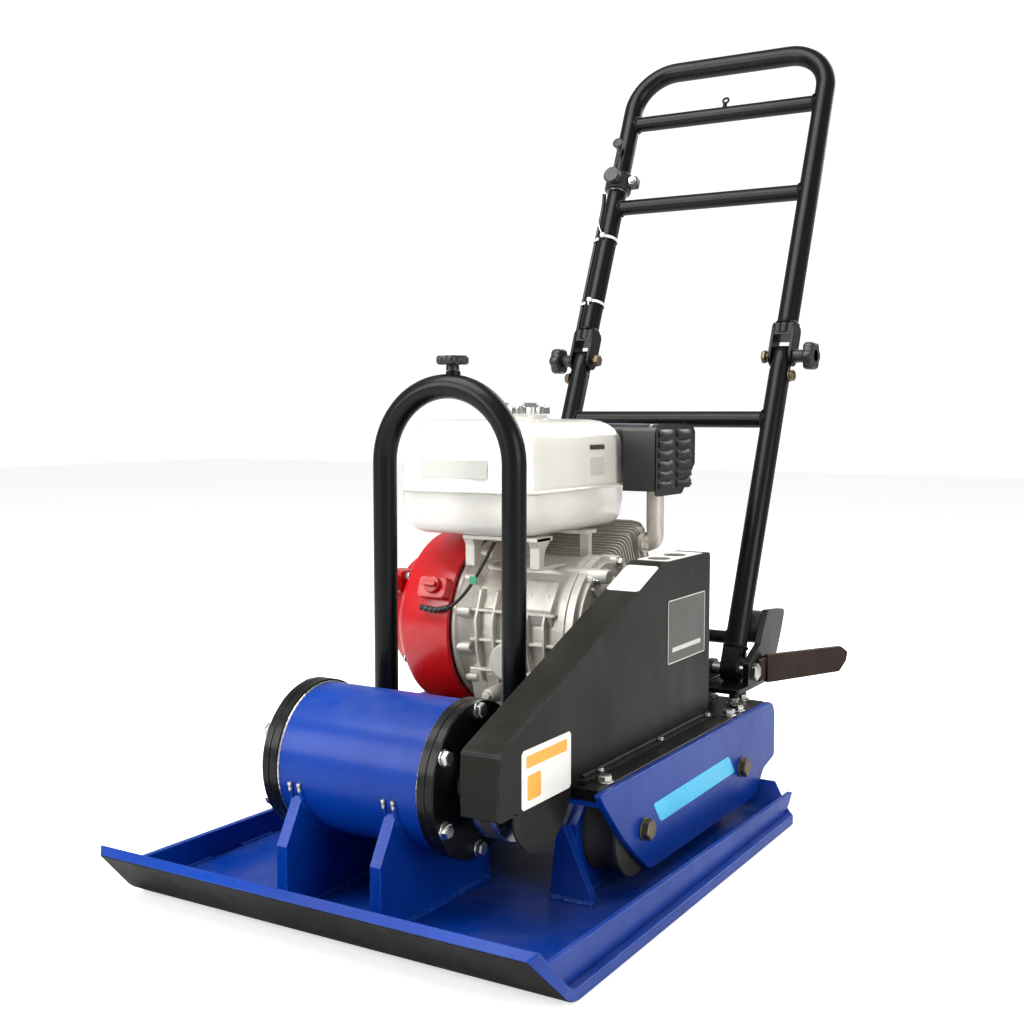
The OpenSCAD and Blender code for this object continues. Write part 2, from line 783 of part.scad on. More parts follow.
module tank_brackets() {
  t = 5;
  top = tank_lo[2];
  x0 = -58;
  x1 = 38;
  leg_w = 12;
  color(cast) {
    // front bracket with feet on the crankcase boss
    span([x0, 24, top - t], [x1, 60, top]);
    for (x = [x0, x1 - leg_w]) {
      span([x, 30, 311], [x + leg_w, 38, top - t + 0.1]);
      span([x, 30, 311], [x + leg_w, 90, 315]);
    }
    // rear bracket
    span([x0, 140, top - t], [x1, 166, top]);
    for (x = [x0, x1 - leg_w]) span([x, 146, 315], [x + leg_w, 154, top - t + 0.1]);
  }
}

module carburettor() {
  color(cast) {
    span([-112, 232, 292], [-64, 262, 340]);
    z_cyl(-88, 247, 272, 292.1, 18);
  }
}

module choke_lever() {
  color(black) {
    translate([-94, 262 + gap, 330]) rotate([-90, 0, 0]) cylinder(r = 5, h = 4);
    span([-98, 262 + gap, 330], [-90, 262 + gap + 3, 366]);
  }
}

module fuel_tap() {
  color(black) {
    translate([-80, 262 + gap, 302]) rotate([-90, 0, 0]) cylinder(r = 6, h = 5);
    span([-104, 262 + gap, 299], [-80, 262 + gap + 4, 305]);
  }
}

module air_cleaner() {
  lo = [-130, 276, 330];
  hi = [-46, 356, 438];
  base_h = 16;
  color([0.14, 0.15, 0.15]) {
    round_box(lo, [hi[0], hi[1], lo[2] + base_h], 16);
    round_box([lo[0] + 4, lo[1] + 4, lo[2] + base_h - 0.1], [hi[0] - 4, hi[1] - 4, hi[2]], 18);
    z_cyl((lo[0] + hi[0]) / 2, (lo[1] + hi[1]) / 2, hi[2] - 0.1, hi[2] + 6, 26);
    // inlet stub down to the carburettor
    span([-118, 262, 312], [-102, 282, lo[2] + 0.1]);
  }
}

muffler_lo = [-12, 206, 385];
muffler_hi = [100, 322, 471];
muffler_step = [52, 258];    // the muffler is cut away here to clear the tank

// (y, z) outline of the muffler, inset by d, from a front edge y0
function muffler_outline(y0, d) = [
  [y0 + d, muffler_lo[2] + d], [y0 + d, muffler_hi[2] - 6 - d], [y0 + 8 + d, muffler_hi[2] - d],
  [muffler_hi[1] - 8 - d, muffler_hi[2] - 2 - d], [muffler_hi[1] - d, muffler_hi[2] - 10 - d],
  [muffler_hi[1] - d, muffler_lo[2] + 36 + d * 0.4], [muffler_hi[1] - 40 - d * 0.4, muffler_lo[2] + d]];

module muffler() {
  d = 7;
  pipe = exhaust_at();
  color(black) difference() {
    union() {
      yz_plate(muffler_lo[0] + d, muffler_hi[0] - d, muffler_outline(muffler_step[1], d));
      yz_plate(muffler_step[0] + d, muffler_hi[0] - d, muffler_outline(muffler_lo[1], d));
    }
    yz_plate(muffler_step[0] + d + 3, muffler_hi[0] - d - 3, muffler_outline(muffler_lo[1], d + 3));
    z_cyl(pipe[0], pipe[1], muffler_lo[2], muffler_lo[2] + 12, 12.5);
  }
}

// Louvred heat guard around the muffler, open below
module muffler_guard() {
  t = 2;
  color(black) difference() {
    union() {
      yz_plate(muffler_lo[0], muffler_hi[0], muffler_outline(muffler_step[1], 0));
      yz_plate(muffler_step[0], muffler_hi[0], muffler_outline(muffler_lo[1], 0));
    }
    for (part = [[muffler_lo[0], muffler_step[1]], [muffler_step[0], muffler_lo[1]]]) {
      yz_plate(part[0] + t, muffler_hi[0] - t, muffler_outline(part[1], t));
      yz_plate(part[0] + t, muffler_hi[0] - t,
        [for (p = muffler_outline(part[1], t)) [p[0], p[1] - (p[1] < muffler_lo[2] + 60 ? 30 : 0)]]);
    }
    for (i = [0 : 4]) for (y = [214, 262])
      span([muffler_hi[0] - t - 1, y, muffler_lo[2] + 14 + i * 11],
           [muffler_hi[0] + 1, y + 42, muffler_lo[2] + 19 + i * 11]);
  }
}

// Where the exhaust pipe stands, in front of the port
function exhaust_at() = [78,
  crank_y + port_at * cos(cylinder_tilt) - port_up * sin(cylinder_tilt),
  crank_z + port_at * sin(cylinder_tilt) + port_up * cos(cylinder_tilt)];

module exhaust_elbow() {
  p = exhaust_at();
  color([0.62, 0.55, 0.48]) {
    z_cyl(p[0], p[1], p[2] - 13, muffler_lo[2] + 7, 12);
    x_cyl(64, p[0], p[1], p[2], 12);
    x_cyl(64, 68, p[1], p[2], 18);
  }
}

// ---------------------------------------------------- handle assembly

module handle_feet() {
  base_z = deck_z + 14;
  color(black) both_sides() {
    // raised base plate on its studs
    span([118, 268, base_z], [foot_x0 + ear_t, 386, base_z + 6]);
    for (x = [128, 168]) for (y = [278, 304]) z_cyl(x, y, deck_z, base_z + 0.1, 6);
    // inner and outer ears of the foot pivot and of the stop rubbers
    difference() {
      union() {
        yz_plate(118, 118 + ear_t, [[298, base_z + 5], [304, 176], [330, 176], [346, base_z + 5]]);
        yz_plate(foot_x0, foot_x0 + ear_t, [[300, base_z + 5], [302, 178], [foot[1] + 4, 188],
          [340, 196], [366, 236], [432, 230], [414, 196], [384, base_z + 5]]);
      }
      x_cyl(100, 200, foot[1], foot[2], 8.05);
    }
  }
}

stop_at = [0, 375, 212];

module handle_stop_rubbers() {
  color(rubber) both_sides() {
    x_cyl(134, foot_x0, stop_at[1], stop_at[2], 20.9);
  }
}

module foot_pivot_rod() {
  color(steel) {
    x_cyl(-foot_x0 - ear_t - 6, foot_x0 + ear_t + 6, foot[1], foot[2], 8);
    both_sides() x_hex(foot_x0 + ear_t + 0.1, 7, foot[1], foot[2], 19);
  }
}

// One handle tube on the lean line, from s0 to s1 beyond the foot pivot
module handle_leg(x, s0, s1, r) {
  a = foot + s0 * lean + [x, 0, 0];
  b = foot + s1 * lean + [x, 0, 0];
  rod(a, b, r);
}

module lower_handle() {
  pin = 8;
  color(black) difference() {
    union() {
      both_sides() {
        handle_leg(handle_x, 18, fold_at, handle_r);
        // foot lug
        translate([handle_x, foot[1], foot[2]]) rotate([-handle_lean, 0, 0]) {
          span([-11, -15, 0], [11, 15, 24]);
          translate([-11, 0, 0]) rotate([0, 90, 0]) cylinder(r = 15, h = 22);
        }
        x_cyl(handle_x - handle_r + 2.5, handle_x + handle_r - 2.5, fold[1], fold[2], handle_r);
      }
      // crossbars
      x_cyl(-handle_x, handle_x, foot[1] + 336 * lean[1], foot[2] + 336 * lean[2], 11);
      x_cyl(-handle_x, handle_x, foot[1] + 40 * lean[1], foot[2] + 40 * lean[2], 8);
    }
    // bores of the tubes
    both_sides() handle_leg(handle_x, 60, fold_at - 44, handle_r - tube_wall);
    x_cyl(-handle_x + 16, handle_x - 16, foot[1] + 336 * lean[1], foot[2] + 336 * lean[2], 11 - tube_wall);
    x_cyl(-190, 190, foot[1], foot[2], pin + 0.05);
    x_cyl(-190, 190, fold[1], fold[2], 5.05);
    both_sides() translate([handle_x, fold[1], fold[2]]) rotate([-handle_lean, 0, 0]) {
      // spot faces of the stop bolts
      translate([handle_r - 2, 0, -28]) rotate([0, 90, 0]) cylinder(r = 9.05, h = 8);
      // flats that the fork closes on
      for (s = [-1, 1]) translate([s * (handle_r - 2.5), -20, -18]) mirror([s < 0 ? 1 : 0, 0, 0])
        cube([6, 40, 40]);
    }
  }
}

module upper_handle() {
  fork_in = handle_r - 2.5 + gap;
  fork_t = 4;
  side_top = grip_at - grip_bend_r;
  color(black) translate(fold) rotate([-handle_lean, 0, 0]) difference() {
    union() {
      both_sides() {
        translate([handle_x, 0, 26]) cylinder(r = handle_r, h = side_top - 26);
        // fork plates and the sleeve that ties them to the tube
        for (s = [-1, 1]) {
          x = s > 0 ? handle_x + fork_in : handle_x - fork_in - fork_t;
          span([x, -handle_r, 0], [x + fork_t, handle_r, 46]);
          x_cyl(x, x + fork_t, 0, 0, handle_r);
        }
        translate([handle_x - fork_in - fork_t, -handle_r, 26])
          cube([2 * (fork_in + fork_t), 2 * handle_r, 20]);
        // top corner bend
        translate([handle_x - grip_bend_r, 0, side_top]) rotate([90, 0, 0])
          rotate_extrude(angle = 90) translate([grip_bend_r, 0]) circle(r = handle_r);
      }
      x_cyl(-handle_x + grip_bend_r, handle_x - grip_bend_r, 0, grip_at, handle_r);
      x_cyl(-handle_x, handle_x, 0, 250, 11);
      x_cyl(-handle_x, handle_x, 0, 394, 11);
      // eye on the upper crossbar
      z_cyl(0, 0, 400, 414, 4);
      translate([0, 0, 418]) sphere(r = 6);
    }
    // bores of the tubes
    both_sides() translate([handle_x, 0, 50]) cylinder(r = handle_r - tube_wall, h = side_top - 60);
    x_cyl(-handle_x + grip_bend_r, handle_x - grip_bend_r, 0, grip_at, handle_r - tube_wall);
    for (s = [250, 394]) x_cyl(-handle_x + 16, handle_x - 16, 0, s, 11 - tube_wall);
    x_cyl(-190, 190, 0, 0, 5.05);
  }
}

// Pivot bolts through each fork, and the stop bolts below them
module fold_bolts() {
  stop = foot + (fold_at - 28) * lean;
  color(bronze) both_sides() {
    x_cyl(handle_x - 22, handle_x + 33, fold[1], fold[2], 5);
    x_hex(handle_x - 21.9, -6, fold[1], fold[2], 16);
    x_cyl(handle_x + handle_r - 2, handle_x + handle_r + 3, stop[1], stop[2], 9);
    x_hex(handle_x + handle_r + 3, 6, stop[1], stop[2], 13);
  }
}

// Lobed clamp knob screwed on the outer end of the right pivot bolt
module fold_knob(side) {
  x = handle_x + handle_r - 2.5 + 4 + 2 * gap;
  mirror([side < 0 ? 1 : 0, 0, 0]) color(black) difference() {
    union() {
      x_cyl(x, x + 16, fold[1], fold[2], 9);
      translate([x + 15.9, fold[1], fold[2]]) rotate([0, 90, 0]) difference() {
        cylinder(r = 20, h = 14);
        for (a = [0 : 60 : 300]) rotate(a) translate([24.5, 0, -1]) cylinder(r = 8, h = 17);
      }
    }
    x_cyl(x - 1, x + 20, fold[1], fold[2], 5.05);
  }
}

module fold_knob_right() { fold_knob(1); }
module fold_knob_left() { fold_knob(-1); }

throttle_s = 292;        // distance of the throttle clamp above the folding pivot
clamp_outer = 20;

// Children in the upper handle's own frame, on the left tube
module on_left_tube(s) {
  translate(fold + s * lean + [-handle_x, 0, 0]) rotate([-handle_lean, 0, 0]) children();
}

module throttle_clamp() {
  color(black) on_left_tube(throttle_s) difference() {
    union() {
      translate([0, 0, -13]) cylinder(r = clamp_outer, h = 26);
      rotate([90, 0, 0]) cylinder(r = 12, h = 24);
      translate([12, -6, -8]) cube([20, 12, 16]);
    }
    translate([0, 0, -14]) cylinder(r = handle_r, h = 28);
  }
}

module throttle_lever() {
  color(black) on_left_tube(throttle_s) {
    translate([0, -24 - gap, 0]) rotate([90, 0, 0]) cylinder(r = 13, h = 6);
    translate([-5, -30 - gap, 8]) cube([10, 5, 46]);
    translate([0, -25 - gap, 54]) rotate([90, 0, 0]) cylinder(r = 8, h = 5);
  }
}

// Throttle cable clipped down the left tube to just above the fork
cable_r = 3;
module cable_on_handle() {
  along = fold + [-handle_x - 19, 0, 0];
  color(black) cable(smooth([along + 60 * lean, along + 160 * lean, along + 250 * lean,
    fold + (throttle_s - 16) * lean + [-handle_x - 17, -9, 0]], 4), cable_r);
}

// The same cable from the folding joint down to the engine's governor
module cable_at_engine() {
  route = smooth([[-128, 420, 402], [-126, 398, 366], [-122, 366, 334], [-118, 326, 306],
    [-116, 290, 290], [-112.5, 266, 284]], 3);
  color(black) cable(route, cable_r);
}

module cable_ties() {
  color([0.95, 0.95, 0.93]) for (s = [90, 196]) on_left_tube(s) difference() {
    hull() {
      translate([0, 0, -2]) cylinder(r = handle_r + 1.6, h = 4, $fn = 32);
      translate([-19, 0, -2]) cylinder(r = cable_r + 1.8, h = 4, $fn = 32);
    }
    translate([0, 0, -3]) cylinder(r = handle_r, h = 6);
    translate([-19, 0, -3]) cylinder(r = cable_r + 0.5, h = 6);
  }
}

module rear_carry_bar() {
  splay = 27;
  t = 8;
  color(rust) {
    // tab against the ear and the flat bar that splays out from it
    span([foot_x0 + ear_t, 329, deck_z + 20], [foot_x0 + ear_t + 5, 362, deck_z + 48]);
    translate([foot_x0 + ear_t + 1, 350, 0]) rotate([0, 0, -splay])
      yz_plate(0, t, [[0, deck_z + 16], [0, deck_z + 52], [129, deck_z + 50],
        [141, deck_z + 42], [138, deck_z + 30], [126, deck_z + 17]]);
  }
}

base_plate();
side_upstands();
exciter_gussets();
mount_uprights();
rubber_mounts();
exciter_tube();
exciter_covers();
exciter_bolts();
exciter_bearings();
shaft_seal();
exciter_shaft();
exciter_pulley();
drive_belt();
engine_deck();
side_brackets();
mount_bolts();
mount_nuts();
deck_bolts();
lifting_hoop();
hoop_knob();
belt_guard();
clutch_pulley();
crankshaft();
flywheel();
crankcase();
crankcase_cover();
cylinder_barrel();
cylinder_head();
rocker_cover();
spark_plug();
fan_housing();
recoil_cover();
starter_grip();
engine_switch();
switch_lead();
fuel_tank();
tank_brackets();
fuel_cap();
carburettor();
air_cleaner();
choke_lever();
fuel_tap();
muffler();
muffler_guard();
exhaust_elbow();
oil_plug();
handle_feet();
handle_stop_rubbers();
foot_pivot_rod();
lower_handle();
upper_handle();
fold_bolts();
fold_knob_right();
fold_knob_left();
throttle_clamp();
throttle_lever();
cable_on_handle();
cable_at_engine();
cable_ties();
rear_carry_bar();
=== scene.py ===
"""Looks of a forward plate compactor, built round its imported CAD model."""

import json
from math import cos, pi, radians, sin, tan

import bmesh
import bpy
from mathutils import Matrix, Vector


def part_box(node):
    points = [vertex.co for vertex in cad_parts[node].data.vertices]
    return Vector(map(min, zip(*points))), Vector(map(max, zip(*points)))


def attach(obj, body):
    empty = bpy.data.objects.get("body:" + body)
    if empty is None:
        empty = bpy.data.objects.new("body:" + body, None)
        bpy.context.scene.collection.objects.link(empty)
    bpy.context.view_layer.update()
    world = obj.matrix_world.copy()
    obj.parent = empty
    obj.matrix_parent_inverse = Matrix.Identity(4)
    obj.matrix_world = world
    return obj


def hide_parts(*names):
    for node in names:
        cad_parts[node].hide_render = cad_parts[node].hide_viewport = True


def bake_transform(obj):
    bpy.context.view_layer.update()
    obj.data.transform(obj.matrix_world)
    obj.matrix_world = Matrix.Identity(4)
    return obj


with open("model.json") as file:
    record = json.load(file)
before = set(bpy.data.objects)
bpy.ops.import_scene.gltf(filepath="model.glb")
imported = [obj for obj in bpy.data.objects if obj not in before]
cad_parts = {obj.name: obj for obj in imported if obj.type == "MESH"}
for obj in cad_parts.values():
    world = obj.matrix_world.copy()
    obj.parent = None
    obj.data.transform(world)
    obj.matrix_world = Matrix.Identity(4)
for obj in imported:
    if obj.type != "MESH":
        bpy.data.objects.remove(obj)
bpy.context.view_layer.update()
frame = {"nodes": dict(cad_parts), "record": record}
scene = bpy.context.scene
BODY_OF = {node: body for body, nodes in frame["record"]["behaviour"]["bodies"].items()
           for node in nodes}


# ------------------------------------------------------------ camera, light

ROOM_LIGHT, BACKDROP_LIGHT = 0.42, 1.1
FLOOR_GLOW = 0.56
LAMPS = (("Sky panel", (-0.6, -0.9, 2.6), (0, 0, 0.2), 1.8, 80, (0.95, 0.98, 1.0)),
         ("Front panel", (-1.6, -2.6, 1.5), (0, 0, 0.3), 1.6, 62, (1, 1, 1)),
         ("Side panel", (2.6, -0.7, 1.1), (0, 0, 0.3), 1.5, 34, (1.0, 0.98, 0.95)),
         ("Back panel", (0.4, 2.6, 2.0), (0, 0, 0.4), 1.6, 50, (1, 1, 1)))


def light(name, at, aim, size, watts, colour):
    data = bpy.data.lights.new(name, "AREA")
    data.size = size
    data.energy = watts
    data.color = colour
    lamp = bpy.data.objects.new(name, data)
    lamp.location = at
    lamp.rotation_euler = (Vector(aim) - Vector(at)).to_track_quat("-Z", "Y").to_euler()
    scene.collection.objects.link(lamp)


def studio():
    lens = bpy.data.cameras.new("Camera")
    lens.sensor_width = 36
    lens.lens = 45.6
    camera = bpy.data.objects.new("Camera", lens)
    camera.location = (0.7365, -1.1903, 0.485)
    camera.rotation_euler = (radians(85.591), 0, radians(31))
    scene.collection.objects.link(camera)
    scene.camera = camera
    for lamp in LAMPS:
        light(*lamp)
    world = bpy.data.worlds.new("Studio")
    world.use_nodes = True
    # the backdrop reads white while the room's own light stays soft
    room = Net(world.node_tree)
    seen = room.add("ShaderNodeLightPath").outputs["Is Camera Ray"]
    sky = world.node_tree.nodes["Background"]
    sky.inputs["Color"].default_value = (0.97, 0.98, 1.0, 1)
    world.node_tree.links.new(room.between(seen, 0, 1, ROOM_LIGHT, BACKDROP_LIGHT),
                              sky.inputs["Strength"])
    scene.world = world
    scene.view_settings.view_transform = "Standard"
    mesh = bpy.data.meshes.new("Floor")
    reach = 9
    mesh.from_pydata([(-reach, -reach, 0), (reach, -reach, 0), (reach, reach, 0),
                      (-reach, reach, 0)], [], [(0, 1, 2, 3)])
    floor = bpy.data.objects.new("Floor", mesh)
    scene.collection.objects.link(floor)
    paint = bpy.data.materials.new("Floor paint")
    paint.use_nodes = True
    shader = paint.node_tree.nodes["Principled BSDF"]
    shader.inputs["Base Color"].default_value = (0.90, 0.90, 0.90, 1)
    shader.inputs["Roughness"].default_value = 0.75
    glow = Net(paint.node_tree)
    seen = glow.add("ShaderNodeLightPath").outputs["Is Camera Ray"]
    shader.inputs["Emission Color"].default_value = (1.0, 1.0, 1.0, 1)
    paint.node_tree.links.new(glow.maths("MULTIPLY", seen, FLOOR_GLOW),
                              shader.inputs["Emission Strength"])
    mesh.materials.append(paint)


# ------------------------------------------------------------ finishes

class Net:
    """A node tree being filled: add() makes a node and wires or sets its inputs."""

    def __init__(self, tree):
        self.tree = tree

    def add(self, kind, inputs=(), **settings):
        node = self.tree.nodes.new(kind)
        for key, value in settings.items():
            setattr(node, key, value)
        for key, value in dict(inputs).items():
            self.feed(node.inputs[key], value)
        return node

    def feed(self, socket, value):
        """Wires an output into a socket, or sets the socket to a plain value."""
        if isinstance(value, bpy.types.NodeSocket):
            self.tree.links.new(value, socket)
        else:
            socket.default_value = value

    def maths(self, operation, a, b=0.0, clamp=False):
        return self.add("ShaderNodeMath", {0: a, 1: b}, operation=operation,
                        use_clamp=clamp).outputs[0]

    def between(self, value, lo, hi, out_lo=0.0, out_hi=1.0):
        return self.add("ShaderNodeMapRange", {"Value": value, "From Min": lo, "From Max": hi,
                        "To Min": out_lo, "To Max": out_hi}).outputs[0]

    def noise(self, place, scale, detail=4.0, roughness=0.55):
        return self.add("ShaderNodeTexNoise", {"Vector": place, "Scale": scale, "Detail": detail,
                        "Roughness": roughness}).outputs["Fac"]

    def mix(self, fac, a, b):
        node = self.add("ShaderNodeMix", data_type="RGBA")
        for socket, value in zip((node.inputs[0], node.inputs[6], node.inputs[7]), (fac, a, b)):
            self.feed(socket, value)
        return node.outputs[2]

    def place(self, stretch=(1, 1, 1)):
        spot = self.add("ShaderNodeTexCoord").outputs["Object"]
        if stretch == (1, 1, 1):
            return spot
        return self.add("ShaderNodeMapping", {"Vector": spot, "Scale": stretch}).outputs[0]


def effect(name, inputs, outputs, fill):
    """A shader node group with named sockets; fill(net, inputs) returns its outputs in order."""
    tree = bpy.data.node_groups.new(name, "ShaderNodeTree")
    for label, value in inputs.items():
        tree.interface.new_socket(label, in_out="INPUT",
                                  socket_type="NodeSocketFloat").default_value = value
    for label in outputs:
        tree.interface.new_socket(label, in_out="OUTPUT", socket_type="NodeSocketFloat")
    net = Net(tree)
    entry = net.add("NodeGroupInput")
    results = fill(net, {label: entry.outputs[label] for label in inputs})
    end = net.add("NodeGroupOutput")
    for label, value in zip(outputs, results):
        tree.links.new(value, end.inputs[label])
    return tree


def fill_edge_wear_and_highlight(net, given):
    # edge mask: paint() lays its marked tone here, as wear and, on the blue and red enamels, as a
    # painted edge highlight
    bevel = net.add("ShaderNodeBevel", {"Radius": given["Radius"]}, samples=4)
    flat = net.add("ShaderNodeNewGeometry").outputs["Normal"]
    dot = net.add("ShaderNodeVectorMath", {0: bevel.outputs[0], 1: flat}, operation="DOT_PRODUCT")
    edge = net.between(dot.outputs["Value"], 0.985, 0.86)
    patchy = net.between(net.noise(net.place(), 90, 6, 0.7), 0.42, 0.60)
    return [net.maths("MULTIPLY", net.maths("MULTIPLY", edge, patchy), given["Amount"], True)]


def fill_smudges(net, given):
    broad = net.noise(net.place(), given["Scale"], 5, 0.6)
    fine = net.noise(net.place((1, 1, 0.35)), net.maths("MULTIPLY", given["Scale"], 9.0), 3, 0.6)
    blend = net.maths("ADD", net.maths("MULTIPLY", broad, 0.7), net.maths("MULTIPLY", fine, 0.3))
    spread = net.between(blend, 0.32, 0.68)
    return [spread, net.add("ShaderNodeMapRange", {"Value": spread, "To Min": given["Low"],
                                                   "To Max": given["High"]}).outputs[0]]


def fill_peel(net, given):
    soft = net.noise(net.place(), given["Scale"], 2, 0.45)
    tight = net.noise(net.place(), net.maths("MULTIPLY", given["Scale"], 3.1), 2, 0.5)
    return [net.maths("ADD", net.maths("MULTIPLY", soft, 0.75), net.maths("MULTIPLY", tight, 0.25))]


def fill_scratches(net, given):
    fine = net.noise(net.place((1, 0.06, 0.4)), given["Scale"], 3, 0.7)
    cross = net.noise(net.place((0.08, 1, 0.3)), net.maths("MULTIPLY", given["Scale"], 0.8), 3, 0.7)
    lines = net.maths("ADD", net.between(fine, 0.66, 0.74), net.between(cross, 0.67, 0.75))
    where = net.between(net.noise(net.place(), 7, 3, 0.5), 0.46, 0.60)
    return [net.maths("MULTIPLY", net.maths("MULTIPLY", lines, where), given["Amount"], True)]


def fill_casting(net, given):
    grain = net.noise(net.place(), given["Scale"], 6, 0.75)
    pits = net.add("ShaderNodeTexVoronoi", {"Vector": net.place(), "Scale": 420.0})
    pits = pits.outputs["Distance"]
    height = net.maths("ADD", net.maths("MULTIPLY", grain, 0.8), net.maths("MULTIPLY", pits, 0.3))
    return [height, net.between(grain, 0.36, 0.62)]


def fill_dust(net, given):
    up = net.add("ShaderNodeSeparateXYZ", {0: net.add("ShaderNodeNewGeometry").outputs["Normal"]})
    flat = net.between(up.outputs["Z"], 0.55, 1.0)
    cloud = net.between(net.noise(net.place(), given["Scale"], 6, 0.68), 0.44, 0.70)
    return [net.maths("MULTIPLY", net.maths("MULTIPLY", flat, cloud), given["Amount"], True)]


def fill_turned(net, given):
    rings = net.noise(net.place((1, 0.02, 0.02)), given["Scale"], 2, 0.6)
    return [rings, net.between(rings, 0.35, 0.65, 0.82, 1.08)]


EFFECTS = {
    "edges": effect("Edge wear and painted highlight", {"Radius": 0.0016, "Amount": 1.0}, ["Mask"], fill_edge_wear_and_highlight),
    "smudges": effect("Handling smudges", {"Scale": 6.0, "Low": 0.2, "High": 0.4},
                      ["Mask", "Value"], fill_smudges),
    "peel": effect("Paint orange peel", {"Scale": 260.0}, ["Height"], fill_peel),
    "scratches": effect("Fine scratches", {"Scale": 150.0, "Amount": 1.0}, ["Mask"],
                        fill_scratches),
    "casting": effect("Casting grain", {"Scale": 620.0}, ["Height", "Mask"], fill_casting),
    "dust": effect("Settled dust", {"Scale": 9.0, "Amount": 0.4}, ["Mask"], fill_dust),
    "turned": effect("Turned rings", {"Scale": 900.0}, ["Height", "Tone"], fill_turned),
}
FINISHES = {}


class Coat(Net):
    """A material being mixed; use() places an effect group, done() closes it on a Principled."""

    def __init__(self, name, slot):
        self.material = bpy.data.materials.new(name)
        self.material.use_nodes = True
        super().__init__(self.material.node_tree)
        self.shader = self.tree.nodes["Principled BSDF"]
        FINISHES[name] = self.material

    def use(self, effect_name, **values):
        node = self.add("ShaderNodeGroup")
        node.node_tree = EFFECTS[effect_name]
        for label, value in values.items():
            node.inputs[label].default_value = value
        return node.outputs

    def done(self, bumps=(), **sockets):
        normal = None
        for height, strength, depth in bumps:
            given = {"Height": height, "Strength": strength, "Distance": depth}
            if normal:
                given["Normal"] = normal
            normal = self.add("ShaderNodeBump", given).outputs[0]
        if normal:
            self.tree.links.new(normal, self.shader.inputs["Normal"])
        for label, value in sockets.items():
            self.feed(self.shader.inputs[label.replace("_", " ")], value)


def rgb(r, g, b):
    """Display colour in 0 to 255 as a linear colour."""
    return tuple((c / 255 / 12.92) if c < 10.3 else ((c / 255 + 0.055) / 1.055) ** 2.4
                 for c in (r, g, b)) + (1.0,)


def paint(name, slot, colour, deep, marked_tone, roughness=(0.22, 0.42), coat=0.5, peel=0.10,
          dust=0.25, edge=0.8, scuffs=0.35, gloss=0.5):
    """Brushed or sprayed enamel: tone drift, smudges, worn edges (a painted edge highlight on the
    blue and red enamels), scratches, dust, peel.
    """
    mix = Coat(name, slot)
    smudge = mix.use("smudges", Scale=5.0, Low=roughness[0], High=roughness[1])
    tone = mix.mix(smudge["Mask"], colour, deep)
    # edges and scratches take the marked tone; on the blue and red enamels it is lighter than the
    # paint, a painted edge highlight along the edges
    wear_and_edge_highlight = mix.maths("MAXIMUM", mix.use("edges", Amount=edge)["Mask"],
                      mix.use("scratches", Amount=scuffs)["Mask"])
    tone = mix.mix(wear_and_edge_highlight, tone, marked_tone)
    dusty = mix.use("dust", Amount=dust)["Mask"]
    tone = mix.mix(dusty, tone, rgb(150, 145, 135))
    rough = mix.maths("ADD", smudge["Value"], mix.maths("MULTIPLY", dusty, 0.5))
    mix.shader.inputs["Coat Roughness"].default_value = 0.12
    mix.shader.inputs["Specular IOR Level"].default_value = gloss
    mix.done([(mix.use("peel")["Height"], peel, 0.0006)], Base_Color=tone, Roughness=rough,
             Coat_Weight=coat)


def metal(name, slot, colour, deep, roughness=(0.2, 0.4), grain="turned", bump=0.15,
          metallic=1.0, scale=900.0):
    mix = Coat(name, slot)
    smudge = mix.use("smudges", Scale=14.0, Low=roughness[0], High=roughness[1])
    grainy = mix.use(grain, Scale=scale)
    tone = mix.mix(smudge["Mask"], colour, deep)
    marked_tone = mix.mix(mix.use("scratches", Amount=0.5)["Mask"], tone, rgb(220, 220, 215))
    mix.done([(grainy["Height"], bump, 0.0004)], Base_Color=marked_tone, Roughness=smudge["Value"],
             Metallic=metallic)


def moulded(name, slot, colour, deep, roughness=(0.4, 0.6), bump=0.2, scale=700.0, dust=0.2):
    """Moulded plastic or rubber with a fine skin grain."""
    mix = Coat(name, slot)
    smudge = mix.use("smudges", Scale=11.0, Low=roughness[0], High=roughness[1])
    skin = mix.use("casting", Scale=scale)
    tone = mix.mix(smudge["Mask"], colour, deep)
    dusty = mix.use("dust", Amount=dust)["Mask"]
    tone = mix.mix(dusty, tone, rgb(140, 135, 125))
    mix.done([(skin["Height"], bump, 0.0003)], Base_Color=tone, Roughness=smudge["Value"])


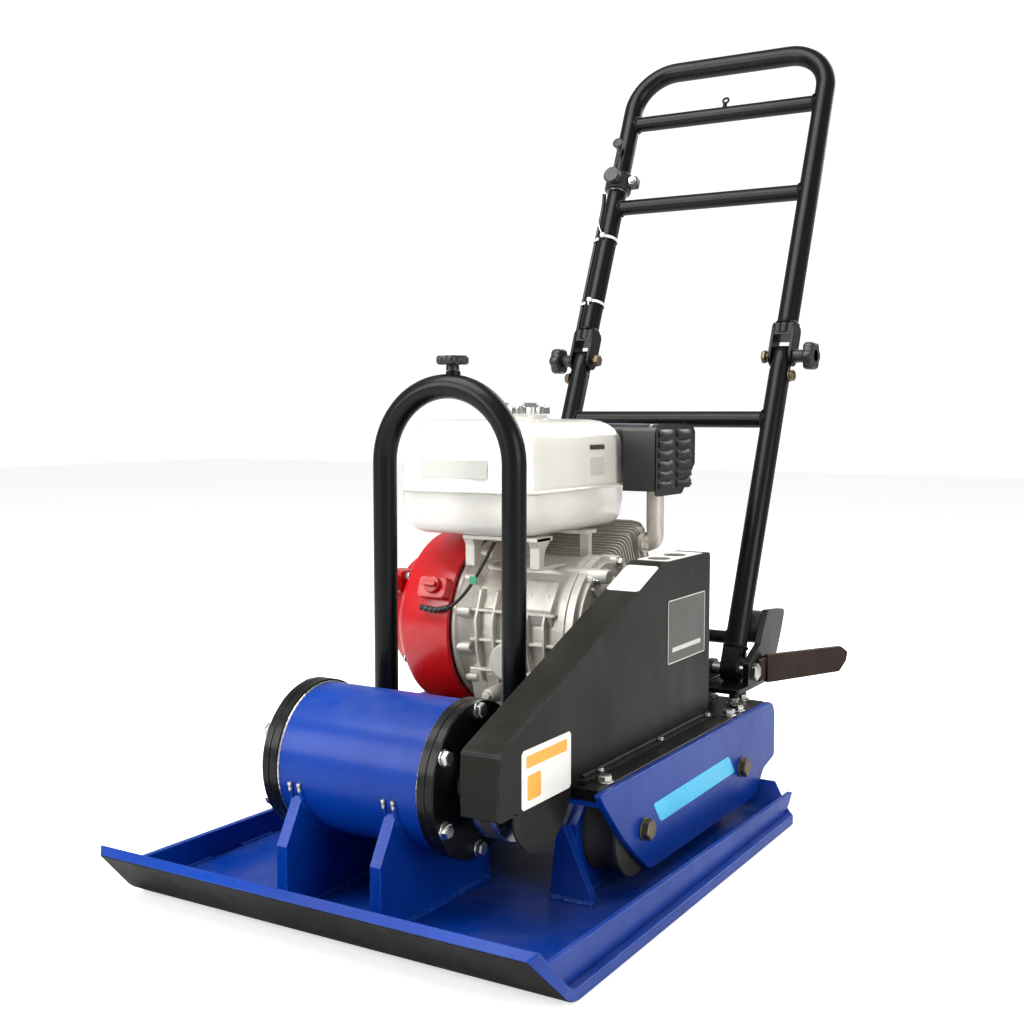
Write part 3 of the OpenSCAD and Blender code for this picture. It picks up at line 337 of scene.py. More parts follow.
def make_finishes():
    # the third colour, a lighter blue laid along the edges, is a painted edge highlight
    paint("Blue enamel", "blue_paint", rgb(3, 58, 152), rgb(2, 43, 124), rgb(52, 108, 205),
          coat=0.06, gloss=0.16, scuffs=0.2, dust=0.12)
    paint("Black enamel", "black_paint", rgb(11, 11, 11), rgb(7, 7, 7), rgb(96, 94, 88),
          edge=0.35, scuffs=0.12, coat=0.1, dust=0.05, gloss=0.16)
    paint("Guard enamel", "black_paint", rgb(25, 23, 17), rgb(17, 16, 12), rgb(80, 88, 100),
          roughness=(0.34, 0.52), coat=0.05, edge=0.5, scuffs=0.1, dust=0.06, gloss=0.12)
    paint("Tube coating", "black_paint", rgb(9, 9, 9), rgb(6, 6, 6), rgb(66, 66, 64),
          roughness=(0.26, 0.44), coat=0.08, edge=0.2, scuffs=0.12, peel=0.16, dust=0.03,
          gloss=0.16)
    # near-black finish for the plate's underside faces
    paint("Sole underside", "blue_paint", rgb(20, 18, 18), rgb(13, 12, 12), rgb(82, 74, 66),
          roughness=(0.45, 0.7), coat=0.0, edge=0.6, scuffs=0.7, gloss=0.12, dust=0.05)
    # the third colour, a pale red laid along the edges, is a painted edge highlight
    paint("Red enamel", "red_paint", rgb(196, 8, 18), rgb(172, 5, 12), rgb(225, 100, 100),
          roughness=(0.22, 0.34), coat=0.3, edge=0.15, scuffs=0.05, dust=0.02, gloss=0.3)
    paint("Tank enamel", "tank_paint", rgb(232, 229, 220), rgb(222, 218, 207), rgb(196, 194, 186),
          roughness=(0.16, 0.3), coat=0.5, edge=0.1, scuffs=0.06, dust=0.08, peel=0.05)
    paint("Brown steel", "brown_steel", rgb(52, 34, 27), rgb(32, 22, 18), rgb(110, 75, 55),
          roughness=(0.5, 0.75), coat=0.0, edge=0.7, scuffs=0.5, peel=0.5, gloss=0.25)
    metal("Zinc plate", "zinc_steel", rgb(205, 205, 200), rgb(165, 165, 158), (0.18, 0.36))
    metal("Bronze plate", "bronze_steel", rgb(120, 108, 82), rgb(80, 72, 56), (0.3, 0.55),
          metallic=0.85)
    metal("Cast alloy", "cast_alloy", rgb(222, 218, 208), rgb(192, 187, 176), (0.36, 0.56),
          grain="casting", bump=0.4, metallic=0.45, scale=520.0)
    metal("Machined alloy", "cast_alloy", rgb(215, 212, 205), rgb(190, 186, 178), (0.22, 0.38))
    metal("Hot pipe", "hot_steel", rgb(228, 224, 216), rgb(190, 180, 168), (0.28, 0.5),
          metallic=0.4)
    moulded("Rubber", "rubber", rgb(52, 50, 42), rgb(38, 37, 32), (0.6, 0.8), 0.35)
    moulded("Black plastic", "black_plastic", rgb(28, 28, 28), rgb(20, 20, 20), (0.34, 0.52))
    moulded("Muffler black", "black_paint", rgb(30, 29, 28), rgb(18, 18, 18), (0.28, 0.46), 0.25)
    # lighter blue-grey copy of the muffler black for the shroud's top faces: a painted sheen
    moulded("Muffler top sheen", "black_paint", rgb(58, 66, 92), rgb(104, 108, 120), (0.28, 0.45), 0.3)
    moulded("Red plastic", "red_plastic", rgb(192, 14, 17), rgb(168, 9, 12), (0.26, 0.4), 0.1)
    moulded("White nylon", "white_nylon", rgb(235, 235, 230), rgb(220, 220, 214), (0.35, 0.5))
    moulded("Yellow plastic", "yellow_plastic", rgb(205, 180, 40), rgb(190, 165, 35))
    moulded("Cyan film", "blue_paint", rgb(35, 190, 232), rgb(30, 180, 225), (0.2, 0.32), 0.03,
            dust=0.05)
    moulded("White film", "tank_paint", rgb(238, 236, 230), rgb(230, 228, 222), (0.25, 0.36), 0.03,
            dust=0.05)
    moulded("Amber film", "tank_paint", rgb(236, 172, 40), rgb(228, 164, 36), (0.25, 0.36), 0.03,
            dust=0.05)
    moulded("Grey film", "black_paint", rgb(70, 68, 62), rgb(62, 60, 55), (0.3, 0.42), 0.03)
    moulded("Pale film", "tank_paint", rgb(205, 203, 196), rgb(198, 196, 188), (0.25, 0.36), 0.03,
            dust=0.02)
    moulded("Green tag", "cast_alloy", rgb(70, 160, 120), rgb(60, 150, 110), (0.3, 0.4), 0.03)


# ------------------------------------------------------------ mesh helpers

PLACE = {"x": lambda t, p, q: (t, p, q), "y": lambda t, p, q: (p, t, q),
         "z": lambda t, p, q: (p, q, t)}


def prism(bm, outline, lo, hi, axis="x", finish=0):
    """Solid between lo and hi along axis with the given outline in the other two."""
    put = PLACE[axis]
    rings = [[bm.verts.new(put(t, p, q)) for p, q in outline] for t in (lo, hi)]
    faces = [bm.faces.new(rings[0]), bm.faces.new(rings[1])]
    count = len(outline)
    for i in range(count):
        j = (i + 1) % count
        faces.append(bm.faces.new((rings[0][i], rings[0][j], rings[1][j], rings[1][i])))
    for face in faces:
        face.material_index = finish
    return faces


def block(bm, lo, hi, finish=0):
    return prism(bm, [(lo[1], lo[2]), (hi[1], lo[2]), (hi[1], hi[2]), (lo[1], hi[2])],
                 lo[0], hi[0], "x", finish)


def absorb(bm, part):
    """Adds a finished part to a bmesh and frees it."""
    mesh = bpy.data.meshes.new("part")
    part.to_mesh(mesh)
    part.free()
    bm.from_mesh(mesh)
    bpy.data.meshes.remove(mesh)


def bridge(bm, rings, finish=0, ends=True):
    """Skins closed rings of one count into a tube and, where wanted, shuts its ends."""
    steps = len(rings[0])
    for a, b in zip(rings, rings[1:]):
        for k in range(steps):
            j = (k + 1) % steps
            bm.faces.new((a[k], a[j], b[j], b[k])).material_index = finish
    if ends:
        for ring in (rings[0], rings[-1]):
            bm.faces.new(ring).material_index = finish


def circle(bm, put, along, radius, centre, steps):
    return [bm.verts.new(put(along, centre[0] + radius * cos(2 * pi * k / steps),
                             centre[1] + radius * sin(2 * pi * k / steps)))
            for k in range(steps)]


def lathe(bm, profile, centre, axis="x", steps=48, finish=0):
    """Solid of revolution. profile holds (along, radius) pairs; centre the other two values."""
    put = PLACE[axis]
    rings = []
    for along, radius in profile:
        if radius <= 0:
            rings.append([bm.verts.new(put(along, *centre))])
            continue
        rings.append(circle(bm, put, along, radius, centre, steps))
    made = []
    for a, b in zip(rings, rings[1:]):
        for k in range(steps):
            j = (k + 1) % steps
            corner = [a[k % len(a)], a[j % len(a)], b[j % len(b)], b[k % len(b)]]
            unique = [v for i, v in enumerate(corner) if v not in corner[:i]]
            if len(unique) > 2:
                made.append(bm.faces.new(unique))
    for ring in (rings[0], rings[-1]):
        if len(ring) > 1 and not profile[0] == profile[-1]:
            made.append(bm.faces.new(ring))
    for face in made:
        face.material_index = finish
    return made


def closed_lathe(bm, profile, centre, axis="x", steps=48, finish=0):
    """Ring whose last profile point is its first one."""
    put = PLACE[axis]
    rings = [circle(bm, put, t, r, centre, steps) for t, r in profile[:-1]]
    rings.append(rings[0])
    bridge(bm, rings, finish, ends=False)


def smooth_route(points, steps=6):
    """Catmull-Rom curve through the points."""
    p = [Vector(v) for v in points]
    out = []
    for i in range(len(p) - 1):
        a, b, c, d = p[max(i - 1, 0)], p[i], p[i + 1], p[min(i + 2, len(p) - 1)]
        for k in range(steps):
            t = k / steps
            out.append(0.5 * (2 * b + (c - a) * t + (2 * a - 5 * b + 4 * c - d) * t * t
                              + (3 * b - a - 3 * c + d) * t ** 3))
    out.append(p[-1])
    return out


def sweep(bm, route, radius, sides=16, finish=0):
    """Tube along a route; radius is a number or a function of the ring's index."""
    route = [Vector(p) for p in route]
    count = len(route)
    tangents = [(route[min(i + 1, count - 1)] - route[max(i - 1, 0)]).normalized()
                for i in range(count)]
    side = tangents[0].orthogonal().normalized()
    rings = []
    for i, (point, tangent) in enumerate(zip(route, tangents)):
        if i:
            side = (side - tangent * side.dot(tangent)).normalized()
        across = tangent.cross(side)
        r = radius(i) if callable(radius) else radius
        rings.append([bm.verts.new(point + r * (side * cos(2 * pi * k / sides)
                                                + across * sin(2 * pi * k / sides)))
                      for k in range(sides)])
    bridge(bm, rings, finish)


def straight(a, b, step=0.004):
    a, b = Vector(a), Vector(b)
    count = max(2, int((b - a).length / step))
    return [a.lerp(b, i / count) for i in range(count + 1)]


def bead(bm, route, radius=0.0032, finish=0):
    """Rippled weld bead along a route given by its corner points."""
    points = []
    for a, b in zip(route, route[1:]):
        points += straight(a, b, 0.0022)[:-1]
    points.append(Vector(route[-1]))
    sweep(bm, points, lambda i: radius * (0.88 + 0.16 * sin(i * 1.9) + 0.07 * sin(i * 0.83)), 8,
          finish)


def collar_weld(bm, x, r, z, thick):
    """Weld bead round an upright tube at height z."""
    bead(bm, [(x + r * cos(radians(a)), r * sin(radians(a)), z) for a in range(0, 361, 12)], thick)


def hexagon(bm, base, height, flats, axis="x", centre=(0, 0), turn=0.0, finish=0):
    """Hexagonal head from base, height long (either sign), with a chamfered crown."""
    put = PLACE[axis]
    r = flats / 2 / cos(pi / 6)
    sign = 1 if height > 0 else -1
    crown = min(abs(height) * 0.22, 0.0012) * sign
    levels = [(base, r), (base + height - crown, r), (base + height, r * 0.86)]
    rings = [[bm.verts.new(put(t, centre[0] + q * cos(pi / 3 * k + turn),
                               centre[1] + q * sin(pi / 3 * k + turn))) for k in range(6)]
             for t, q in levels]
    bridge(bm, rings, finish)


def bolt(bm, face, out, centre, axis="x", flats=0.013, head=0.0055, washer=0.009, turn=0.3,
         thread=0.0, finish=0):
    """Washer, hexagonal head and, where wanted, the thread's end, standing out of a face."""
    t = 0.0016 * out
    lathe(bm, [(face, 0), (face, washer), (face + t * 0.8, washer), (face + t, washer * 0.94),
               (face + t, 0)], centre, axis, 24, finish)
    hexagon(bm, face + t, head * out, flats, axis, centre, turn, finish)
    if thread:
        top = face + t + head * out
        r = flats * 0.29
        steps = max(2, int(abs(thread) / 0.001))
        profile = [(top - 0.0002 * out, 0)]
        for i in range(steps):
            profile += [(top + out * thread * i / steps, r),
                        (top + out * thread * (i + 0.5) / steps, r * 0.88)]
        lathe(bm, profile + [(top + out * thread, 0)], centre, axis, 16, finish)


def filleted(outline, radius, steps=5):
    """Outline with every corner rounded; radius is one number or a list of one per corner."""
    out = []
    count = len(outline)
    for i, corner in enumerate(outline):
        r = radius[i] if isinstance(radius, (list, tuple)) else radius
        b = Vector(corner)
        to_a = (Vector(outline[i - 1]) - b)
        to_c = (Vector(outline[(i + 1) % count]) - b)
        half = to_a.angle(to_c) / 2
        if r <= 0 or half > radians(89):
            out.append(tuple(b))
            continue
        cut = min(r / tan(half), 0.48 * to_a.length, 0.48 * to_c.length)
        a, c = b + to_a.normalized() * cut, b + to_c.normalized() * cut
        for k in range(steps + 1):
            t = k / steps
            out.append(tuple(a * (1 - t) ** 2 + b * 2 * t * (1 - t) + c * t * t))
    return out


def soften(obj, width, segments=2, angle=34):
    mod = obj.modifiers.new("Soft edges", "BEVEL")
    mod.width = width
    mod.segments = segments
    mod.limit_method = "ANGLE"
    mod.angle_limit = radians(angle)
    mod.harden_normals = True


def piece(name, bm, finishes, body, stands_for=(), bevel=0.0, segments=2, angle=34):
    """Turns a bmesh into a shown object: its finishes, its body, if one, and what it stands for."""
    finishes = [finishes] if isinstance(finishes, str) else list(finishes)
    bmesh.ops.recalc_face_normals(bm, faces=bm.faces)
    mesh = bpy.data.meshes.new(name)
    bm.to_mesh(mesh)
    bm.free()
    for finish in finishes:
        mesh.materials.append(FINISHES[finish])
    mesh.shade_smooth()
    mesh.set_sharp_from_angle(angle=radians(angle))
    obj = bpy.data.objects.new(name, mesh)
    scene.collection.objects.link(obj)
    if bevel:
        soften(obj, bevel, segments, angle)
    if body:
        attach(obj, body)
    if stands_for:
        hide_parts(*stands_for)
    return obj


def dressed(node, finish, bevel=0.0008, segments=2, weld=None, rides=True):
    """The CAD node's own shape, cleaned, with soft edges and its finish."""
    bm = bmesh.new()
    bm.from_mesh(frame["nodes"][node].data)
    bmesh.ops.remove_doubles(bm, verts=bm.verts, dist=2e-6)
    bmesh.ops.dissolve_limit(bm, angle_limit=radians(1), verts=bm.verts, edges=bm.edges)
    for face in bm.faces:
        face.material_index = 0
    if weld:
        weld(bm)
    return piece(node + "_shape", bm, finish, BODY_OF[node] if rides else "", (node,), bevel,
                 segments)


def film(name, corners, normal, finish, body, thick=0.0004, radius=0.003):
    """Thin label patch: corners in order, standing proud of its face along normal."""
    lift = Vector(normal).normalized() * thick
    out = []
    for i, corner in enumerate(corners):
        corner = Vector(corner)
        a = Vector(corners[i - 1]) - corner
        b = Vector(corners[(i + 1) % len(corners)]) - corner
        for t in (0.0, 0.5, 1.0):
            first = corner + a.normalized() * radius * (1 - t)
            out.append(first + b.normalized() * radius * t)
    bm = bmesh.new()
    low = [bm.verts.new(p) for p in out]
    high = [bm.verts.new(p + lift) for p in out]
    bm.faces.new(low)
    bm.faces.new(high)
    for i in range(len(out)):
        j = (i + 1) % len(out)
        bm.faces.new((low[i], low[j], high[j], high[i]))
    return piece(name, bm, finish, body)


# ------------------------------------------------------------ base

def corner(node, which=0):
    """Lowest (0) or highest (1) corner of a CAD node."""
    return Vector(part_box(node)[which])


SOLE_FRONT, SOLE_REAR = -0.268, 0.255
PLATE_T = 0.011
TOE_BEND = 0.045
PLATE_HALF = 0.250
DECK_Z = 0.131
MOUNT_Z = 0.072
GUSSET_X = (-0.066, 0.044)


def toe(side, depth, reach):
    """(y, z) of a point reach beyond the toe bend, depth above the sole's face."""
    end = SOLE_FRONT if side < 0 else SOLE_REAR
    inner = TOE_BEND - depth
    s = sin(radians(45))
    return (end + side * (inner * s + reach * s), TOE_BEND - inner * s + reach * s)


def section_line(depth, front, rear, steps=14):
    line = [toe(-1, depth, front)]
    r = TOE_BEND - depth
    for i in range(steps + 1):
        a = radians(225 + 45 * i / steps)
        line.append((SOLE_FRONT + r * cos(a), TOE_BEND + r * sin(a)))
    for i in range(steps + 1):
        a = radians(270 + 45 * i / steps)
        line.append((SOLE_REAR + r * cos(a), TOE_BEND + r * sin(a)))
    return line + [toe(1, depth, rear)]


def toe_reach(node_side):
    """How far the toe runs past its bend, from the CAD plate's own box."""
    lo, hi = corner("base_plate", 0), corner("base_plate", 1)
    s = sin(radians(45))
    if node_side < 0:
        return (SOLE_FRONT - lo.y) / s - TOE_BEND
    return (hi.y - SOLE_REAR) / s - TOE_BEND


def base_plate():
    front, rear = toe_reach(-1), toe_reach(1)
    bottom = section_line(0, front, rear)
    top = section_line(PLATE_T, front, rear)
    cut_front, cut_rear = 0.010, 0.042
    lo, hi = corner("base_plate", 0), corner("base_plate", 1)
    bm = bmesh.new()
    rows = []
    for line in (bottom, top):
        row = []
        for y, z in line:
            half = PLATE_HALF
            half -= max(0.0, lo.y + cut_front - y) + max(0.0, y - (hi.y - cut_rear))
            row.append((bm.verts.new((-half, y, z)), bm.verts.new((half, y, z))))
        rows.append(row)
    under, over = rows
    for i in range(len(under) - 1):
        face = bm.faces.new((under[i][0], under[i][1], under[i + 1][1], under[i + 1][0]))
        face.material_index = 1
        bm.faces.new((over[i][0], over[i][1], over[i + 1][1], over[i + 1][0]))
        for s in (0, 1):
            bm.faces.new((under[i][s], under[i + 1][s], over[i + 1][s], over[i][s]))
    for i in (0, -1):
        bm.faces.new((under[i][0], under[i][1], over[i][1], over[i][0]))
    piece("plate", bm, ["Blue enamel", "Sole underside"], "base", ("base_plate",), 0.0016, 3)
    bm = bmesh.new()
    # stitch welds along the inner foot of both upstands
    inner = corner("side_upstands", 1).x - 0.007
    for side in (-1, 1):
        for k in range(6):
            y = SOLE_FRONT + 0.02 + k * 0.095
            bead(bm, [(side * inner, y, PLATE_T), (side * inner, y + 0.05, PLATE_T)], 0.0030)
    piece("plate_welds", bm, "Blue enamel", "base")


def gusset_welds(bm):
    (exciter_y, exciter_z), r = EXCITER, 0.072
    for x in GUSSET_X:
        for face in (-0.006, 0.006):
            foot_y = [exciter_y - 0.092 + 0.012, exciter_y + 0.09]
            bead(bm, [(x + face, y, PLATE_T + 0.001) for y in foot_y], 0.0034)
            arc = [(x + face, exciter_y + r * cos(radians(a)), exciter_z + r * sin(radians(a)))
                   for a in range(192, 349, 6)]
            bead(bm, arc, 0.0030)


def weld_tips():
    """Bare, rough ends of the gusset welds at both sides of the casing."""
    bm = bmesh.new()
    for x in GUSSET_X:
        for a0, a1 in ((187, 196), (344, 353)):
            for face in (-0.0055, 0.0055):
                arc = [(x + face, EXCITER[0] + 0.0735 * cos(radians(a)),
                        EXCITER[1] + 0.0735 * sin(radians(a))) for a in range(a0, a1 + 1, 3)]
                bead(bm, arc, 0.0022)
    piece("gusset_weld_tips", bm, "Machined alloy", "base")


def upright_welds(bm):
    for side in (-1, 1):
        for x in (0.143, 0.155):
            bead(bm, [(side * x, -0.098, PLATE_T), (side * x, 0.255, PLATE_T)], 0.0032)
        bead(bm, [(side * x, -0.1105, PLATE_T + 0.001) for x in (0.131, 0.179)], 0.0036)


def rubber_mounts():
    x0, x1 = 0.155, 0.1917
    flat = 0.036
    bm = bmesh.new()
    for side in (-1, 1):
        for y in (-0.042, 0.222):
            part = bmesh.new()
            profile = [(0.0, 0), (0.0, 0.0475), (0.0035, 0.0475), (0.0038, 0.0468)]
            length = x1 - x0
            for k in range(9):
                t = k / 8
                profile.append((0.004 + (length - 0.008) * t, 0.0468 - 0.004 * sin(pi * t)))
            profile += [(length - 0.0035, 0.0475), (length, 0.0475), (length, 0)]
            lathe(part, [(side * (x0 + a), r) for a, r in profile], (y, MOUNT_Z), "x", 48)
            cut = bmesh.ops.bisect_plane(part, geom=part.verts[:] + part.edges[:] + part.faces[:],
                                         plane_co=(0, 0, MOUNT_Z + flat), plane_no=(0, 0, 1),
                                         clear_outer=True)
            rim = [e for e in cut["geom_cut"] if isinstance(e, bmesh.types.BMEdge)]
            bmesh.ops.holes_fill(part, edges=rim)
            absorb(bm, part)
    for side, label in ((1, "right"), (-1, "left")):
        half = bm.copy()
        far = [v for v in half.verts if v.co.x * side < 0]
        bmesh.ops.delete(half, geom=far, context="VERTS")
        buffers = piece(f"rubber_buffers_{label}", half, "Rubber", "", ("rubber_mounts",), 0.0008)
        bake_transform(buffers)
    bm.free()


EXCITER = (-0.185, 0.142)
TUBE_ENDS = (-0.087, 0.077)
FLANGE_R, FLANGE_T = 0.075, 0.009


def exciter():
    bm = bmesh.new()
    r = 0.072
    a, b = TUBE_ENDS
    lathe(bm, [(a, 0), (a, r - 0.001), (a + 0.001, r), (b - 0.001, r), (b, r - 0.001), (b, 0)],
          EXCITER, "x", 128)
    piece("exciter_casing", bm, "Blue enamel", "base", ("exciter_tube", "exciter_bearings"))
    bm = bmesh.new()
    # closing weld between the casing and its welded rings
    for x, side in ((a, -1), (b, 1)):
        ring = [(x - side * 0.0005, EXCITER[0] + (r + 0.0002) * cos(radians(k)),
                 EXCITER[1] + (r + 0.0002) * sin(radians(k))) for k in range(0, 361, 3)]
        bead(bm, ring, 0.0013)
    piece("exciter_seams", bm, "Machined alloy", "base")
    bm = bmesh.new()
    for x, side in ((a, -1), (b, 1)):
        def out(*pairs):
            return [(x + side * along, radius) for along, radius in pairs]
        lathe(bm, out((0, 0), (0, FLANGE_R - 0.0006), (0.0006, FLANGE_R),
                      (FLANGE_T - 0.0010, FLANGE_R), (FLANGE_T - 0.0002, FLANGE_R - 0.0012),
                      (FLANGE_T + 0.0002, FLANGE_R - 0.0012), (FLANGE_T + 0.0010, FLANGE_R),
                      (2 * FLANGE_T - 0.0012, FLANGE_R), (2 * FLANGE_T, FLANGE_R - 0.0012),
                      (2 * FLANGE_T, 0.050), (2 * FLANGE_T - 0.002, 0.048),
                      (2 * FLANGE_T - 0.002, 0.0315), (2 * FLANGE_T, 0.030),
                      (2 * FLANGE_T + 0.0045, 0.0293), (2 * FLANGE_T + 0.005, 0.0285),
                      (2 * FLANGE_T + 0.005, 0)), EXCITER, "x", 96)
        # grease plugs
        for angle in (30, 150):
            spot = (EXCITER[0] + 0.040 * sin(radians(angle)),
                    EXCITER[1] + 0.040 * cos(radians(angle)))
            lathe(bm, out((2 * FLANGE_T - 0.003, 0), (2 * FLANGE_T - 0.003, 0.0042),
                          (2 * FLANGE_T + 0.001, 0.0042), (2 * FLANGE_T + 0.0016, 0.0034),
                          (2 * FLANGE_T + 0.0016, 0)), spot, "x", 16)
    piece("exciter_flanges", bm, "Black enamel", "base", ("exciter_covers", "shaft_seal"))
    bm = bmesh.new()
    for x, side in ((a - 2 * FLANGE_T, -1), (b + 2 * FLANGE_T, 1)):
        for k in range(6):
            turn = radians(60 * k)
            bolt(bm, x, side, (EXCITER[0] + 0.066 * sin(turn), EXCITER[1] + 0.066 * cos(turn)),
                 "x", 0.013, 0.0055, 0.0085, 0.3 + k * 0.7)
    piece("exciter_cap_screws", bm, "Zinc plate", "base", ("exciter_bolts",), 0.0003, 1)


def base():
    base_plate()
    dressed("side_upstands", "Blue enamel", 0.0012)
    dressed("exciter_gussets", "Blue enamel", 0.0014, weld=gusset_welds)
    dressed("mount_uprights", "Blue enamel", 0.0016, weld=upright_welds)
    weld_tips()
    rubber_mounts()
    exciter()
    dressed("mount_nuts", "Zinc plate", 0.0005)
    dressed("exciter_pulley", "Machined alloy", 0.0006)
    dressed("exciter_shaft", "Zinc plate", 0.0005)
    # the belt rides with no body
    belt = dressed("drive_belt", "Rubber", 0.0005, rides=False)
    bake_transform(belt)


# ------------------------------------------------------------ deck

def deck():
    dressed("engine_deck", "Black enamel", 0.0012)
    brackets()
    mount_bolts()
    deck_bolts()
    hoop()
    guard()


def brackets():
    half, t = 0.200, 0.008
    outline = [(-0.140, DECK_Z - 0.001), (-0.128, 0.116), (-0.090, 0.076), (-0.060, 0.050),
               (-0.028, 0.0262), (0.272, 0.0252), (0.299, 0.052), (0.336, 0.060),
               (0.335, DECK_Z - 0.0005)]
    round_r = [0.004, 0.014, 0.040, 0.040, 0.034, 0.014, 0.012, 0.006, 0.024]
    bm = bmesh.new()
    for side in (-1, 1):
        prism(bm, filleted(outline, round_r, 7), side * (half - t), side * half, "x")
        # folded top lip that the deck plate rests on
        block(bm, (min(side * 0.149, side * 0.1925), -0.125, 0.1132),
              (max(side * 0.149, side * 0.1925), 0.315, 0.1188))
    piece("hanger_plates", bm, "Blue enamel", "deck", ("side_brackets",), 0.0014, 3)
    film("right_strip", [(half, -0.004, 0.069), (half, 0.201, 0.071), (half, 0.181, 0.094),
                         (half, -0.022, 0.092)], (1, 0, 0), "Cyan film", "deck")


def mount_bolts():
    bm = bmesh.new()
    for side in (-1, 1):
        for k, y in enumerate((-0.042, 0.222)):
            bolt(bm, side * 0.200, side, (y, MOUNT_Z), "x", 0.019, 0.0075, 0.0118, 0.2 + k)
    piece("buffer_bolts", bm, "Bronze plate", "deck", ("mount_bolts",), 0.0005, 2)


def deck_bolts():
    bm = bmesh.new()
    for side in (-1, 1):
        for k, y in enumerate((-0.098, 0.222, 0.250)):
            bolt(bm, DECK_Z, 1, (side * 0.184, y), "z", 0.013, 0.0062, 0.0088, 0.5 * k)
    for y in (-0.080, 0.060, 0.190):
        hexagon(bm, DECK_Z + 0.004, 0.0038, 0.0068, "z", (0.170, y), 0.2)
    piece("deck_screws", bm, "Zinc plate", "deck", ("deck_bolts",), 0.0004, 2)


HOOP = {"x": 0.079, "y": -0.092, "top": 0.511, "r": 0.0125}


def hoop():
    x, y, top, r = HOOP["x"], HOOP["y"], HOOP["top"], HOOP["r"]
    bm = bmesh.new()
    arch = [(-x * cos(pi * k / 40), y, top - x + x * sin(pi * k / 40)) for k in range(41)]
    route = ([Vector((-x, y, DECK_Z + 0.004)), Vector((-x, y, 0.25))] + [Vector(p) for p in arch]
             + [Vector((x, y, 0.25)), Vector((x, y, DECK_Z + 0.004))])
    sweep(bm, route, r, 32)
    for side in (-1, 1):
        foot = filleted([(side * x - 0.024, -0.104), (side * x + 0.024, -0.104),
                         (side * x + 0.024, -0.070), (side * x - 0.024, -0.070)], 0.004)
        prism(bm, foot, DECK_Z, DECK_Z + 0.006, "z")
        ring = [(side * x + (r + 0.0005) * cos(radians(a)), y + (r + 0.0005) * sin(radians(a)),
                 DECK_Z + 0.0065) for a in range(0, 361, 8)]
        bead(bm, ring, 0.0026)
    lathe(bm, [(top - 0.004, 0), (top - 0.004, 0.0076), (top + 0.015, 0.0076),
               (top + 0.0159, 0.0066), (top + 0.0159, 0)], (0, y + 0.011), "z", 24)
    piece("hoop_tube", bm, "Tube coating", "deck", ("lifting_hoop",))


def star_knob(name, body, node, base, out, centre, axis, grip_r, grip_t, neck_r, neck_t,
              finish="Black plastic"):
    """Six-lobed clamp knob: neck, lobed grip with rounded rims, and its cap."""
    bm = bmesh.new()
    put = PLACE[axis]
    lathe(bm, [(base, 0), (base, neck_r), (base + out * neck_t, neck_r * 0.92),
               (base + out * (neck_t + 0.001), neck_r * 0.9), (base + out * (neck_t + 0.001), 0)],
          centre, axis, 32)
    start = base + out * neck_t
    steps = 72
    levels = [(0.0, 0.90), (0.12, 0.97), (0.3, 1.0), (0.7, 1.0), (0.88, 0.97), (1.0, 0.90)]
    rings = []
    for along, scale in levels:
        ring = []
        for k in range(steps):
            a = 2 * pi * k / steps
            lobe = 1.0 - 0.16 * (0.5 - 0.5 * cos(6 * a)) ** 1.3
            q = grip_r * scale * lobe * 0.985
            ring.append(bm.verts.new(put(start + out * grip_t * along, centre[0] + q * cos(a),
                                         centre[1] + q * sin(a))))
        rings.append(ring)
    bridge(bm, rings)
    end = start + out * grip_t
    lathe(bm, [(end - out * 0.001, 0), (end - out * 0.001, grip_r * 0.42),
               (end, grip_r * 0.40), (end, 0)], centre, axis, 32)
    return piece(name, bm, finish, body, (node,))


